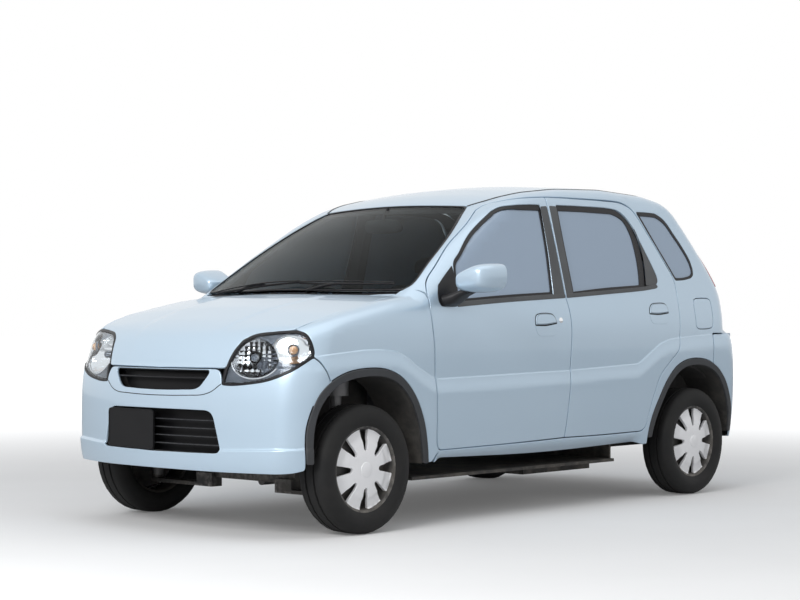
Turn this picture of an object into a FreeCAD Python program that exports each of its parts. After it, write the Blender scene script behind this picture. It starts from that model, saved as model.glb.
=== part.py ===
import FreeCAD, Part
import math
import os
from FreeCAD import Vector

# Kei car: five-door hatchback, right-hand drive. Millimetres, X forward, Y left, Z up, floor at Z = 0,
# X = 0 halfway along the overall length. Every piece is built where it sits in the car.

doc = FreeCAD.newDocument("KeiCar")
sheet = doc.addObject("Spreadsheet::Sheet", "Dimensions")

# Driving dimensions: alias, value, what it is
driving = (
    ("overallLength", 3395, "bumper to bumper"),
    ("wheelbase", 2360, "axle to axle"),
    ("frontOverhang", 525, "front axle to the nose"),
    ("trackWidth", 1290, "wheel centre plane to wheel centre plane"),
    ("hubHeight", 264, "wheel centre above the floor"),
    ("tyreRadius", 264, "tyre outside radius"),
    ("tyreWidth", 155, "tyre section width"),
    ("beadRadius", 165, "tyre bead and rim seat"),
    ("rimWidth", 128, "rim flange to flange"),
    ("rimWall", 4, "steel rim thickness"),
    ("coverRadius", 176, "wheel cover outside radius"),
    ("coverSlots", 8, "wedge slots in a wheel cover"),
    ("hubRadius", 62, "brake and hub drum radius"),
    ("kingpinTop", 540, "top strut mount, from the centre plane"),
    ("kingpinTopHeight", 800, "top strut mount above the floor"),
    ("ballJoint", 598, "lower ball joint, from the centre plane"),
    ("ballJointHeight", 180, "lower ball joint above the floor"),
    ("wallThick", 60, "body side, outside to inside"),
    ("doorThick", 112, "door below the belt, outside to inside"),
    ("flangeThick", 28, "door outer flange and window frame"),
    ("glassThick", 4, "window glass"),
    ("panelThick", 16, "bonnet, wings and bumpers"),
    ("roofThick", 30, "roof with its lining"),
    ("doorGap", 6, "gap round each door"),
    ("lidGap", 5, "gap round bonnet, tailgate and lamps"),
    ("sealGap", 6, "door flange to the body behind it"),
    ("rebate", 45, "body rim that the door flange laps"),
    ("swingGap", 14, "door box to its opening"),
    ("archRadius", 372, "wheel opening at the front and rear"),
    ("houseInner", 402, "wheelhouse inner wall, from the centre plane"),
    ("rearHouseInner", 500, "rear wheelhouse inner wall, from the centre plane"),
    ("fit", 0.3, "clearance between seated pieces"),
    ("floorHeight", 190, "underside of the floor pan"),
    ("floorThick", 14, "floor pan"),
    ("beltHeight", 940, "door body top"),
)
worked = (
    ("frontAxleX", "=overallLength / 2 - frontOverhang", "front axle, from halfway along"),
    ("rearAxleX", "=overallLength / 2 - frontOverhang - wheelbase", "rear axle, from halfway along"),
    ("wheelPlaneY", "=trackWidth / 2", "wheel centre plane"),
)
for row, (alias, value, note) in enumerate(driving + worked, 1):
    sheet.set("A%d" % row, note)
    sheet.set("B%d" % row, str(value))
    sheet.setAlias("B%d" % row, alias)
doc.recompute()


def size(alias):
    return float(sheet.get(alias))


nose = size("overallLength") / 2
frontAxle = nose - size("frontOverhang")
rearAxle = frontAxle - size("wheelbase")
hubHeight = size("hubHeight")
wheelPlane = size("trackWidth") / 2
wall = size("wallThick")
gap = size("doorGap")
lidGap = size("lidGap")
wide = 1200.0
left = Vector(0, 1, 0)


nodes = []


def keep(label, shape):
    feature = doc.addObject("Part::Feature", label)
    feature.Label = label
    feature.Shape = shape.removeSplitter()
    feature.Placement = FreeCAD.Placement()
    nodes.append(feature)
    return feature


def wording(value):
    # words name cells of the sheet, and numbers stay numbers
    return value if isinstance(value, str) else repr(float(value))


def madeBox(label, x, y, z):
    feature = doc.addObject("Part::Box", label)
    for name, axis, pair in (("Length", "x", x), ("Width", "y", y), ("Height", "z", z)):
        low, high = (wording(end) for end in pair)
        feature.setExpression("Placement.Base.%s" % axis, low)
        feature.setExpression(name, "(%s) - (%s)" % (high, low))
    return feature


def madeRod(label, start, end, radius):
    start, end = Vector(*start), Vector(*end)
    feature = doc.addObject("Part::Cylinder", label)
    feature.setExpression("Radius", wording(radius))
    feature.Height = (end - start).Length
    feature.Placement = FreeCAD.Placement(start, FreeCAD.Rotation(Vector(0, 0, 1), end - start))
    return feature


def madePrism(label, outline, low, high):
    """side outline drawn across the car"""
    line = doc.addObject("Part::Polygon", label + "_outline")
    line.Nodes = [Vector(x, low, z) for x, z in outline]
    line.Close = True
    feature = doc.addObject("Part::Extrusion", label)
    feature.Base = line
    feature.DirMode = "Custom"
    feature.Dir = left
    feature.LengthFwd = high - low
    feature.Solid = True
    return feature


def joined(label, parts):
    feature = doc.addObject("Part::MultiFuse", label)
    feature.Shapes = parts
    feature.Refine = True
    nodes.append(feature)
    return feature


def otherSide(label, source):
    feature = doc.addObject("Part::Mirroring", label)
    feature.Source = source
    feature.Base = Vector(0, 0, 0)
    feature.Normal = left
    nodes.append(feature)
    return feature


def mirrored(shape):
    return shape.mirror(Vector(0, 0, 0), left)


def bothSides(shape):
    return Part.makeCompound([shape, mirrored(shape)])


def place(view, u, v, depth):
    if view == "side":
        return Vector(u, depth, v)
    if view == "front":
        return Vector(depth, u, v)
    return Vector(u, v, depth)


def face(view, outline, depth=0.0):
    points = [place(view, u, v, depth) for u, v in outline]
    return Part.Face(Part.makePolygon(points + points[:1]))


def prism(view, outline, low, high, grow=0.0):
    flat = face(view, outline, low)
    if grow:
        flat = flat.makeOffset2D(grow, 2)
    return flat.extrude(place(view, 0, 0, high - low))


def box(x, y, z):
    low = Vector(min(x), min(y), min(z))
    return Part.makeBox(max(x) - min(x), max(y) - min(y), max(z) - min(z), low)


def rod(start, end, radius):
    start, end = Vector(*start), Vector(*end)
    return Part.makeCylinder(radius, (end - start).Length, start, end - start)


def circleMeet(first, firstRadius, second, secondRadius, ahead):
    """where two circles cross, on the forward or the rear side"""
    along = second - first
    reach = (firstRadius ** 2 - secondRadius ** 2 + along.Length ** 2) / (2 * along.Length)
    lift = math.sqrt(firstRadius ** 2 - reach ** 2)
    unit = Vector(along).normalize()
    middle = first + unit * reach
    across = Vector(-unit.y, unit.x, 0) * lift
    pair = (middle + across, middle - across)
    return max(pair, key=lambda p: p.x * ahead)


# Plan curvature of the body: front and rear bows, the corners and the slight bow of the sides
frontBow, frontCorner = 1800.0, 95.0
rearBow, rearCorner = 2600.0, 95.0
sideBow = 60000.0


def planWire(height, front, rear, half):
    """left half of a plan section: front bow, corner, side, corner and rear bow, closed along the centre line"""
    frontCentre = Vector(front - frontBow, 0, height)
    rearCentre = Vector(rear + rearBow, 0, height)
    sideCentre = Vector(0, half - sideBow, height)
    frontKnee = circleMeet(frontCentre, frontBow - frontCorner, sideCentre, sideBow - frontCorner, 1)
    rearKnee = circleMeet(rearCentre, rearBow - rearCorner, sideCentre, sideBow - rearCorner, -1)

    def touch(centre, towards, radius):
        return centre + (towards - centre).normalize() * radius

    def arc(centre, radius, a, b):
        middle = centre + ((a - centre).normalize() + (b - centre).normalize()).normalize() * radius
        return Part.Arc(a, middle, b).toShape()

    noseTip, tailTip = Vector(front, 0, height), Vector(rear, 0, height)
    bowEnd = touch(frontCentre, frontKnee, frontBow)
    sideStart = touch(sideCentre, frontKnee, sideBow)
    sideEnd = touch(sideCentre, rearKnee, sideBow)
    tailEnd = touch(rearCentre, rearKnee, rearBow)
    return Part.Wire([
        arc(frontCentre, frontBow, noseTip, bowEnd),
        arc(frontKnee, frontCorner, bowEnd, sideStart),
        arc(sideCentre, sideBow, sideStart, sideEnd),
        arc(rearKnee, rearCorner, sideEnd, tailEnd),
        arc(rearCentre, rearBow, tailEnd, tailTip),
        Part.makeLine(tailTip, noseTip),
    ])


# Plan sections: height, nose, tail, half width
baseSections = (
    (215, 1630, -1540, 690),
    (430, 1682, -1590, 716),
    (640, 1676, -1606, 722),
    (800, 1630, -1608, 721),
    (900, 1560, -1610, 713),
    (1010, 1470, -1606, 692),
)
proudSections = (
    (215, 1640, -1640, 706),
    (330, nose, -1685, 727),
    (430, nose - 1, -nose, 731),
    (560, 1692, -nose, 734),
    (640, 1681, -1690, 730),
    (830, 1600, -1650, 722),
)
cabinSections = (
    (900, 1110, -1609, 713),
    (1010, 937, -1605, 691),
    (1150, 718, -1512, 657),
    (1290, 480, -1402, 622),
    (1400, 285, -1305, 594),
    (1545, 10, -1140, 552),
)
# Crowned tops: distance along the car, centre height, crown radius
bonnetTop = (
    (1720, 690, 7000),
    (1640, 772, 7000),
    (1560, 832, 7000),
    (1300, 926, 7000),
    (1010, 984, 7000),
    (860, 1002, 7000),
)
roofTop = (
    (1200, 1100, 4200),
    (320, 1397, 4200),
    (-60, 1483, 4200),
    (-600, 1527, 4200),
    (-1000, 1516, 4200),
    (-1330, 1440, 4200),
    (-1700, 1270, 4200),
)


def loftBody(sections, shrink):
    wires = [planWire(z, front - shrink, rear + shrink, half - shrink) for z, front, rear, half in sections]
    return Part.makeLoft(wires, True, True)


def crownBlock(stations, lower, foot):
    """left half of a block below a crowned surface, through cross-section arcs"""
    reach = 800.0
    wires = []
    for x, centre, radius in stations:
        top = centre - lower
        middle = top - (radius - math.sqrt(radius ** 2 - (reach / 2) ** 2))
        edge = top - (radius - math.sqrt(radius ** 2 - reach ** 2))
        arc = Part.Arc(Vector(x, 0, top), Vector(x, reach / 2, middle), Vector(x, reach, edge)).toShape()
        base = Part.makePolygon([Vector(x, reach, edge), Vector(x, reach, foot), Vector(x, 0, foot), Vector(x, 0, top)])
        wires.append(Part.Wire([arc] + base.Edges))
    return Part.makeLoft(wires, True, False)


def envelope(shrink):
    """left half of the closed body, drawn in by the wall"""
    lower = loftBody(baseSections, shrink)
    bonnetTopCut = box((bonnetTop[-1][0] + 1, 1800), (0, 800), (600, 1100)).cut(crownBlock(bonnetTop, shrink, 500))
    cabin = loftBody(cabinSections, shrink).common(crownBlock(roofTop, shrink, 850))
    return lower.cut(bonnetTopCut).fuse(cabin)


# Side outlines, x and z
doorCut = ((-127, 331), (-142, 448), (-163, 635), (-180, 846), (-163, 974), (-157, 1439))
frontDoorOutline = (
    (712, 318), (745, 350), (757, 482), (764, 625), (768, 765), (780, 880), (778, 982), (748, 1036),
    (575, 1172), (378, 1296), (262, 1366), (165, 1402), (40, 1428), (-157, 1439),
) + doorCut[-2::-1]
rearDoorOutline = doorCut + (
    (-570, 1441), (-781, 1430), (-846, 1395), (-1070, 1066), (-1069, 938), (-1050, 783), (-1033, 724),
    (-957, 665), (-873, 596), (-798, 457), (-777, 364), (-711, 332),
)
frontWindow = ((590, 1104), (228, 1350), (110, 1376), (-62, 1384), (-31, 984), (581, 950))
rearWindow = ((-229, 1386), (-650, 1385), (-727, 1360), (-791, 1255), (-807, 1126), (-788, 1037), (-230, 997))
quarterWindow = ((-868, 1387), (-1016, 1388), (-1100, 1345), (-1190, 1240), (-1240, 1160), (-1250, 1110), (-1232, 1086), (-1084, 1072))
stepLine = (
    (1500, 726), (1389, 737), (1191, 752), (1099, 753), (999, 743), (929, 712), (866, 672), (765, 622),
    (-159, 641), (-700, 661), (-780, 703), (-880, 755), (-963, 776), (-1347, 799), (-1760, 803),
)
fuelLidOutline = ((-1200, 825), (-1200, 966), (-1352, 971), (-1352, 830))
# Front outlines, y and z
lampOutline = ((364, 613), (371, 682), (386, 746), (406, 790), (453, 813), (540, 824), (625, 830), (760, 832), (760, 690), (660, 676), (563, 630), (464, 615))

outer = envelope(0)
proud = loftBody(proudSections, 0)
belowStep = prism("side", tuple(stepLine) + ((-1760, 150), (1760, 150), (1760, 726)), -wide, wide)
skin = outer.fuse(proud.common(belowStep))
underGlass = {}


def inside(depth):
    """the same body drawn in, as a solid to cut walls from"""
    if depth not in underGlass:
        underGlass[depth] = envelope(depth)
    return underGlass[depth]


def panelOf(flat, depth, near=0, cutters=()):
    """one panel of the left half: the skin inside a prism, hollowed at the given depth"""
    start = skin if near == 0 else inside(near)
    shape = start.common(flat)
    shape = shape.cut(inside(depth))
    for cutter in cutters:
        shape = shape.cut(cutter)
    return max(shape.Solids, key=lambda s: s.Volume)


def fused(shapes):
    result = shapes[0].fuse(list(shapes[1:])) if len(shapes) > 1 else shapes[0]
    return result.removeSplitter()


def whole(shape):
    return shape.fuse(mirrored(shape)).removeSplitter()


def flatOf(view, outline, holes=(), grow=0.0):
    shape = face(view, outline)
    if grow:
        shape = shape.makeOffset2D(grow, 2)
    for hole in holes:
        shape = shape.cut(hole if hasattr(hole, "Faces") else face(view, hole))
    return shape


def raised(view, flat, low, high):
    start = flat.copy()
    start.translate(place(view, 0, 0, low))
    return start.extrude(place(view, 0, 0, high - low))


def round2D(axle, radius):
    circle = Part.Face(Part.Wire(Part.makeCircle(radius, Vector(axle, 0, hubHeight), left)))
    return circle.fuse(face("side", ((axle - radius, 0), (axle + radius, 0), (axle + radius, hubHeight), (axle - radius, hubHeight)))).removeSplitter()


def lap(label, shape):
    print(label, shape.isValid(), len(shape.Solids), len(shape.Faces), flush=True)
    return shape


houseInner = size("houseInner")
archFlat = round2D(frontAxle, size("archRadius")).fuse(round2D(rearAxle, size("archRadius")))
frontArchRoom = raised("side", round2D(frontAxle, size("archRadius")), houseInner, wide)
rearArchRoom = raised("side", round2D(rearAxle, size("archRadius")), size("rearHouseInner"), wide)
flangeDepth = size("flangeThick")

# Body sides
sideRegion = flatOf("side", (
    (725, 190), (745, 350), (757, 482), (764, 625), (768, 765), (780, 880), (779, 975),
    (794, 1060), (644, 1185), (478, 1320), (330, 1420), (200, 1600), (-1700, 1600),
    (-1700, 800), (-1347, 800), (-1340, 672), (-1340, 190),
), (quarterWindow, flatOf("side", frontDoorOutline, (), -size("rebate")), flatOf("side", rearDoorOutline, (), -size("rebate")), archFlat))
doorBlock = raised("side", face("side", frontDoorOutline).fuse(face("side", rearDoorOutline)), 300, wide).cut(inside(flangeDepth + size("sealGap")))
roofPlan = prism("top", ((400, 450), (-1250, 505), (-1250, 0), (400, 0)), 1300, 1700)
screenRoom = prism("front", ((600, 1002), (446, 1392), (0, 1412), (0, 1002)), 0, wide)
gateOutline = ((-10, 650), (470, 650), (586, 797), (626, 1000), (566, 1260), (505, 1440), (505, 1700), (-10, 1700))
gateRoom = prism("front", gateOutline, -1900, -1160)
tailLampOutline = ((630, 1030), (572, 1270), (760, 1270), (760, 1030))
tailLampSide = prism("side", ((-1345, 1275), (-1465, 1030), (-1900, 1030), (-1900, 1275)), 0, wide)
tailLampRoom = prism("front", tailLampOutline, -1900, -1200).common(tailLampSide)
bodySide = lap("body_side", panelOf(raised("side", sideRegion, 300, wide), wall, 0, (doorBlock, roofPlan, screenRoom, gateRoom, tailLampRoom)))
fuelPocket = prism("side", fuelLidOutline, 300, wide).cut(inside(flangeDepth))
keep("body_side_left", bodySide.cut(fuelPocket))
keep("body_side_right", mirrored(bodySide))

# Roof
roofFlat = prism("top", ((258, 454.4), (-1160, 501.7), (-1160, 0), (258, 0)), 1350, 1700)
roof = panelOf(roofFlat, size("roofThick"))
lap("roof", roof)
keep("roof", whole(roof))

# Wings
wingFlat = flatOf("side", (
    (774, 765), (786, 880), (785, 975), (870, 1012), (1600, 1012), (1600, 700), (1463, 725), (1397, 622),
    (1397, 190), (731, 190), (751, 350), (763, 482), (770, 625),
), (archFlat,))
lampSide = ((1463, 722), (1457, 745), (1466, 808), (1477, 829), (1800, 900), (1800, 500), (1640, 606), (1594, 628), (1537, 672))
lampRoom = prism("front", lampOutline, 1440, 1800).common(prism("side", lampSide, 0, wide))
bonnetPlan = prism("top", ((870, 622), (1197, 636), (1347, 636), (1477, 618), (1800, 618), (1800, 0), (870, 0)), 660, 1300)
panel = size("panelThick")
wing = lap("wing", panelOf(raised("side", wingFlat, 300, wide), panel, 0, (lampRoom, bonnetPlan, screenRoom)))
keep("front_wing_left", wing)
keep("front_wing_right", mirrored(wing))

# Bonnet
bonnetFlat = prism("top", ((876, 617), (1197, 631), (1347, 631), (1474, 613), (1800, 613), (1800, 0), (876, 0)), 684, 1300)
cowlLine = Part.makeCylinder(1450, 2000, Vector(1005 - 1450, 0, 0))
lampClear = prism("front", ((359, 600), (366, 683), (381, 748), (402, 795), (451, 818), (540, 829), (625, 836), (760, 838), (760, 600)), 1440, 1800)
bonnet = lap("bonnet", panelOf(bonnetFlat, panel, 0, (cowlLine, lampClear)))
keep("bonnet", whole(bonnet))

# Front bumper, grille and lower intake
bumperFlat = face("side", ((1800, 190), (1402, 190), (1402, 620), (1468, 719), (1540, 668), (1600, 606), (1800, 606))).cut(archFlat)
surround = prism("front", ((360, 590), (364, 679), (0, 679), (0, 590)), 1500, 1800)
mouthOutline = ((294, 505), (330, 471), (362, 342), (-10, 342), (-10, 505))
mouth = prism("front", mouthOutline, 1400, 1800)
grilleHole = prism("front", ((298, 700), (298, 674), (275, 634), (242, 597), (0, 588), (-10, 588), (-10, 700)), 1400, 1800)
bumper = panelOf(raised("side", bumperFlat, 0, wide).fuse(surround), panel, 0, (lampRoom, mouth, grilleHole))
lap("front_bumper", bumper)
keep("front_bumper", whole(bumper))


def barred(hole, bars, barHeight, near, back, deep):
    """black back panel in an opening, with cross bars standing forward of it"""
    low, high = min(z for y, z in hole), max(z for y, z in hole)
    sheetBack = panelOf(prism("front", hole, 1500, 1800), deep, back)
    rows = [face("front", hole, 1500).common(face("front", ((0, z), (0, z + barHeight), (500, z + barHeight), (500, z)), 1500)) for z in bars]
    slats = [panelOf(row.extrude(Vector(300, 0, 0)), back + 1, near) for row in rows]
    return fused([sheetBack] + slats)


grilleField = ((0, 588.3), (241.7, 597.3), (274.7, 634.3), (297.7, 674.3), (297.7, 678), (0, 678))
grille = barred(grilleField, (612, 646), 12, 6, 18, 26)
keep("grille", whole(lap("grille", grille)))
mouthField = ((0, 342.3), (361.5, 342.3), (329.6, 470.7), (293.7, 504.7), (0, 504.7))
lowerGrille = barred(mouthField, (366, 400, 434, 468), 9, 6, panel, 30)
keep("lower_grille", whole(lap("lower_grille", lowerGrille)))

# Blank plate on its holder, ahead of the lower intake and right of the centre line
keep("front_plate", fused([
    box((1687, 1691), (-312, 18), (338, 503)),
    box((1664, 1687), (-250, -40), (400, 440)),
]).cut(bumper).cut(mirrored(bumper)).cut(mirrored(grille)).cut(whole(lowerGrille)))

# Arch mouldings: bands that lie on the skin round each wheel opening
proudMore = loftBody(proudSections, -3.0)
bands = []
for axle, front in ((frontAxle, True), (rearAxle, False)):
    ring = round2D(axle, size("archRadius") + 32).cut(round2D(axle, size("archRadius")))
    ring = ring.cut(face("side", ((axle - 600, 0), (axle + 600, 0), (axle + 600, 268), (axle - 600, 268))))
    band = proudMore.common(raised("side", ring, 600, wide)).cut(proud)
    bands += [solid for solid in band.Solids if solid.Volume > 20000]
keep("arch_mouldings", bothSides(Part.makeCompound(bands)))

# Lamps
lamp = panelOf(lampRoom.common(raised("front", flatOf("front", lampOutline, (), -2), 1000, 1800)), 60, 0, (frontArchRoom,))
keep("headlamps", bothSides(lap("headlamp", lamp)))

# Rear bumper and tailgate
rearFlat = face("side", ((-1340.3, 190), (-1340.3, 672), (-1347.3, 799.7), (-1560, 799.7), (-1800, 690), (-1800, 190))).cut(archFlat)
rearBumper = skin.common(raised("side", rearFlat, 0, wide)).cut(loftBody(proudSections, panel))
rearBumper = rearBumper.cut(prism("front", ((-10, 644), (476, 644), (576, 797), (576, 900), (-10, 900)), -1900, -1400))
rearBumper = max(rearBumper.Solids, key=lambda s: s.Volume)
keep("rear_bumper", whole(lap("rear_bumper", rearBumper)))
gateSmall = flatOf("front", ((0, 655), (464, 655), (580, 803), (620, 1000), (556, 1260), (489, 1440), (489, 1700), (0, 1700)))
gateWindow = ((500, 1070), (430, 1380), (0, 1390), (-10, 1390), (-10, 1070))
gate = panelOf(raised("front", gateSmall, -1900, -1166), 40, 0, (prism("front", gateWindow, -1900, -1000),))
keep("tailgate", whole(lap("tailgate", gate)))
gateGlass = panelOf(prism("front", ((500, 1070), (430, 1380), (0, 1390), (0, 1070)), -1900, -1000), 8, 4)
keep("tailgate_glass", whole(lap("tailgate_glass", gateGlass)))


# Doors
def door(outline, window, edgeGap):
    flange = panelOf(raised("side", flatOf("side", outline, (window, archFlat), -edgeGap), 480, wide), flangeDepth)
    archClear = round2D(rearAxle, size("archRadius") + size("rebate"))
    trayFlat = flatOf("side", outline, (), -(size("rebate") + size("swingGap"))).cut(archClear)
    belt = face("side", ((-1800, 200), (1800, 200), (1800, size("beltHeight")), (-1800, size("beltHeight"))))
    tray = panelOf(raised("side", trayFlat.common(belt), 300, wide), size("doorThick"), flangeDepth - 1)
    return flange.fuse(tray)


def pane(outline, depth):
    return panelOf(prism("side", outline, 480, wide), depth + size("glassThick"), depth)


for name, outline, window in (("front_door", frontDoorOutline, frontWindow), ("rear_door", rearDoorOutline, rearWindow)):
    leaf = lap(name, door(outline, window, gap))
    keep(name + "_left", leaf)
    keep(name + "_right", mirrored(leaf))
    glass = lap(name + "_glass", pane(window, 8))
    keep(name + "_glass_left", glass)
    keep(name + "_glass_right", mirrored(glass))
keep("quarter_glass", bothSides(lap("quarter", pane(quarterWindow, 4))))
screenFlat = flatOf("front", ((600, 1002), (446, 1392), (0, 1404), (-9, 1404), (-9, 1002)), (), -size("fit"))
screen = panelOf(raised("front", screenFlat, 262, wide), 8, 4)
keep("windscreen", whole(lap("windscreen", screen)))

fit = size("fit")
under = size("floorHeight")
sheetMetal = size("floorThick")
roomWithin = inside(wall)


def turned(profile, centre):
    """ring turned about an axis along Y; profile gives radius and offset along the axis"""
    points = [Vector(centre[0] + r, centre[1] + a, centre[2]) for r, a in profile]
    ring = Part.Face(Part.makePolygon(points + points[:1]))
    return ring.revolve(Vector(*centre), left, 360)


# Floor pan with heel board, load floor, rear panel and rear wheelhouses
floorHalf = fused([
    box((-640, 862), (0, 620), (under, under + sheetMetal)),
    box((-654, -640), (0, 590), (under, 470)),
    box((-1570, -640), (0, size("rearHouseInner") - 14), (456, 470)),
    box((-1570, -1556), (0, 560), (300, 640)),
    box((-1563.4, -1550), (0, 30), (600, 700)),
    box((848, 862), (0, 400), (under, 940)),
    box((848, 862), (0, 600), (620, 940)),
])
rearHouse = raised("side", round2D(rearAxle, size("archRadius") + 12), size("rearHouseInner") - 14, 720)
rearHouse = rearHouse.cut(raised("side", round2D(rearAxle, size("archRadius")), size("rearHouseInner"), 700)).cut(box((-2000, 0), (0, 800), (-500, hubHeight + 60)))
floorHalf = fused([floorHalf.cut(frontArchRoom), rearHouse.common(roomWithin)])
keep("floor_pan", whole(lap("floor_pan", floorHalf)))

# Front aprons: rails, inner wheelhouses with strut towers, radiator support
apron = fused([
    box((862, 1590), (340, 400), (400, 470)),
    box((862, 1430), (386, 400), (470, 800)),
    box((1560, 1590), (0, 400), (330, 400)),
    box((1560, 1590), (280, 340), (400, 640)),
    box((1560, 1590), (0, 340), (600, 640)),
    box((frontAxle - 90, frontAxle + 90), (400, 600), (800, 812)),
    box((862, 1430), (386, 440), (800, 812)),
])
apron = apron.cut(rod((frontAxle, size("kingpinTop"), 700), (frontAxle, size("kingpinTop"), 900), 30))
shelf = box((862, 1430), (430, 720), (800, 812)).common(inside(panel))
stop = rod((1500, 300, 640), (1500, 300, 950), 12).common(inside(panel))
stop = stop.common(box((1400, 1600), (0, 400), (630, 1000)))
stop.translate(Vector(0, 0, -fit * 1.1))
apron = fused([apron, shelf.cut(rod((frontAxle, size("kingpinTop"), 700), (frontAxle, size("kingpinTop"), 900), 30)), stop, box((1490, 1570), (285, 315), (600, 645))])
keep("front_aprons", whole(lap("front_aprons", apron)))

# Cowl strip between bonnet and windscreen
cowlOuter = Part.makeCylinder(1445, 30, Vector(1005 - 1450, 0, 940)).cut(Part.makeCylinder(1380, 30, Vector(1005 - 1450, 0, 940)))
cowl = cowlOuter.common(box((700, 1010), (0, 600), (930, 980)))
keep("cowl", whole(lap("cowl", cowl)))

# Engine and gearbox as one block
joined("engine", [
    madeBox("engine_block", (1010, 1480), (-255, 255), (300, 780)),
    madeBox("engine_foot", (1120, 1180), (-180, -120), (240, 300)),
])

# Front crossmember and lower arms, each arm with a boss under its ball joint
kingTop = Vector(frontAxle, size("kingpinTop"), size("kingpinTopHeight"))
kingFoot = Vector(frontAxle, size("ballJoint"), size("ballJointHeight"))
kingLine = (kingTop - kingFoot).normalize()
jointFace = kingFoot - kingLine * 8
arms = [madeBox("crossmember_beam", (1060, 1180), (-300, 300), (180, 240))]
for side, sign in (("left", 1), ("right", -1)):
    def across(low, high):
        return (low, high) if sign > 0 else (-high, -low)
    foot = Vector(jointFace.x, jointFace.y * sign, jointFace.z)
    upward = Vector(kingLine.x, kingLine.y * sign, kingLine.z)
    arms += [
        madeBox("arm_" + side, ("Dimensions.frontAxleX - 30", "Dimensions.frontAxleX + 30"), across(200, size("ballJoint") + 12), (140, 156)),
        madeRod("arm_boss_" + side, foot - upward * 24, foot - upward * fit, 22),
        madeBox("arm_root_" + side, ("Dimensions.frontAxleX - 30", "Dimensions.frontAxleX + 30"), across(200, 300), (140, 200)),
        madeBox("crossmember_leg_" + side, (1060, 1110), across(260, 300), (222, 400)),
        madeBox("crossmember_rail_" + side, (862, 1110), across(340, 400), (380, 400)),
        madeBox("crossmember_ear_" + side, (1060, 1110), across(300, 400), (360, 400)),
    ]
joined("front_crossmember", arms)

# Knuckles with struts, turning about the kingpin line
strutFoot = (frontAxle, 528, 380)
knuckle = joined("front_knuckle_left", [
    madeRod("strut", (frontAxle, kingTop.y, 799), strutFoot, 24),
    madeRod("spring", (frontAxle, 536, 690), (frontAxle, 534, 560), 52),
    madeBox("knuckle_upright", ("Dimensions.frontAxleX - 30", "Dimensions.frontAxleX + 30"), (505, 560), (222, 440)),
    madeRod("knuckle_foot", jointFace, jointFace + kingLine * 70, 24),
    madeRod("stub_axle", (frontAxle, 540, hubHeight), (frontAxle, wheelPlane + 46, hubHeight), 28),
    madeRod("hub_drum", (frontAxle, 600, hubHeight), (frontAxle, wheelPlane + 40 - fit, hubHeight), "Dimensions.hubRadius"),
])
otherSide("front_knuckle_right", knuckle)

# Wheels, covers and tyres
bead = size("beadRadius")
halfRim = size("rimWidth") / 2
rimWall = size("rimWall")
halfTyre = size("tyreWidth") / 2
tyreOut = size("tyreRadius")
rimProfile = (
    (bead, -halfRim + 6), (bead + 12, -halfRim + 4), (bead + 12, -halfRim), (bead - rimWall, -halfRim),
    (bead - rimWall - 14, -20), (bead - rimWall - 14, 40), (30, 40), (30, 46), (bead - rimWall, 46),
    (bead - rimWall, halfRim), (bead + 12, halfRim), (bead + 12, halfRim - 4), (bead, halfRim - 6), (bead, 20), (bead - 14, 10), (bead - 14, -16),
)
tyreProfile = (
    (bead + fit, -halfRim + 6 + fit), (bead + 12 + fit, -halfRim + 4 + fit), (bead + 16, -halfRim - 1), (bead + 50, -halfTyre), (tyreOut - 28, -halfTyre + 4), (tyreOut - 6, -halfTyre + 18),
    (tyreOut, -halfTyre + 34), (tyreOut, halfTyre - 34), (tyreOut - 6, halfTyre - 18), (tyreOut - 28, halfTyre - 4),
    (bead + 50, halfTyre), (bead + 16, halfRim + 1), (bead + 12 + fit, halfRim - 4 - fit), (bead + fit, halfRim - 6 - fit),
)
coverProfile = ((0, 47), (150, 47), (bead - rimWall - 1, 60), (size("coverRadius"), halfRim + 1), (size("coverRadius"), halfRim + 4), (150, 58), (60, 62), (0, 62))
wheels = (("front_left", "frontAxleX", 1), ("front_right", "frontAxleX", -1), ("rear_left", "rearAxleX", 1), ("rear_right", "rearAxleX", -1))


def section(body, label, profile, square=False):
    # a closed sketch: radius and offset along the axle, or square to the axle
    drawn = body.newObject("Sketcher::SketchObject", label)
    if square:
        drawn.Placement = FreeCAD.Placement(Vector(), FreeCAD.Rotation(Vector(1, 0, 0), 90))
    points = [Vector(u, v, 0) for u, v in profile]
    for first, second in zip(points, points[1:] + points[:1]):
        drawn.addGeometry(Part.LineSegment(first, second), False)
    return drawn


def spun(body, label, drawn):
    feature = body.newObject("PartDesign::Revolution", label)
    feature.Profile = drawn
    feature.ReferenceAxis = (drawn, ["V_Axis"])
    feature.Angle = 360
    return feature


def setWheel(body, axle, direction):
    body.Placement = FreeCAD.Placement(Vector(), FreeCAD.Rotation(Vector(0, 0, 1), 0 if direction > 0 else 180))
    body.setExpression("Placement.Base.x", "Dimensions.%s" % axle)
    body.setExpression("Placement.Base.y", "Dimensions.wheelPlaneY * %d" % direction)
    body.setExpression("Placement.Base.z", "Dimensions.hubHeight")
    nodes.append(body)


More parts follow.
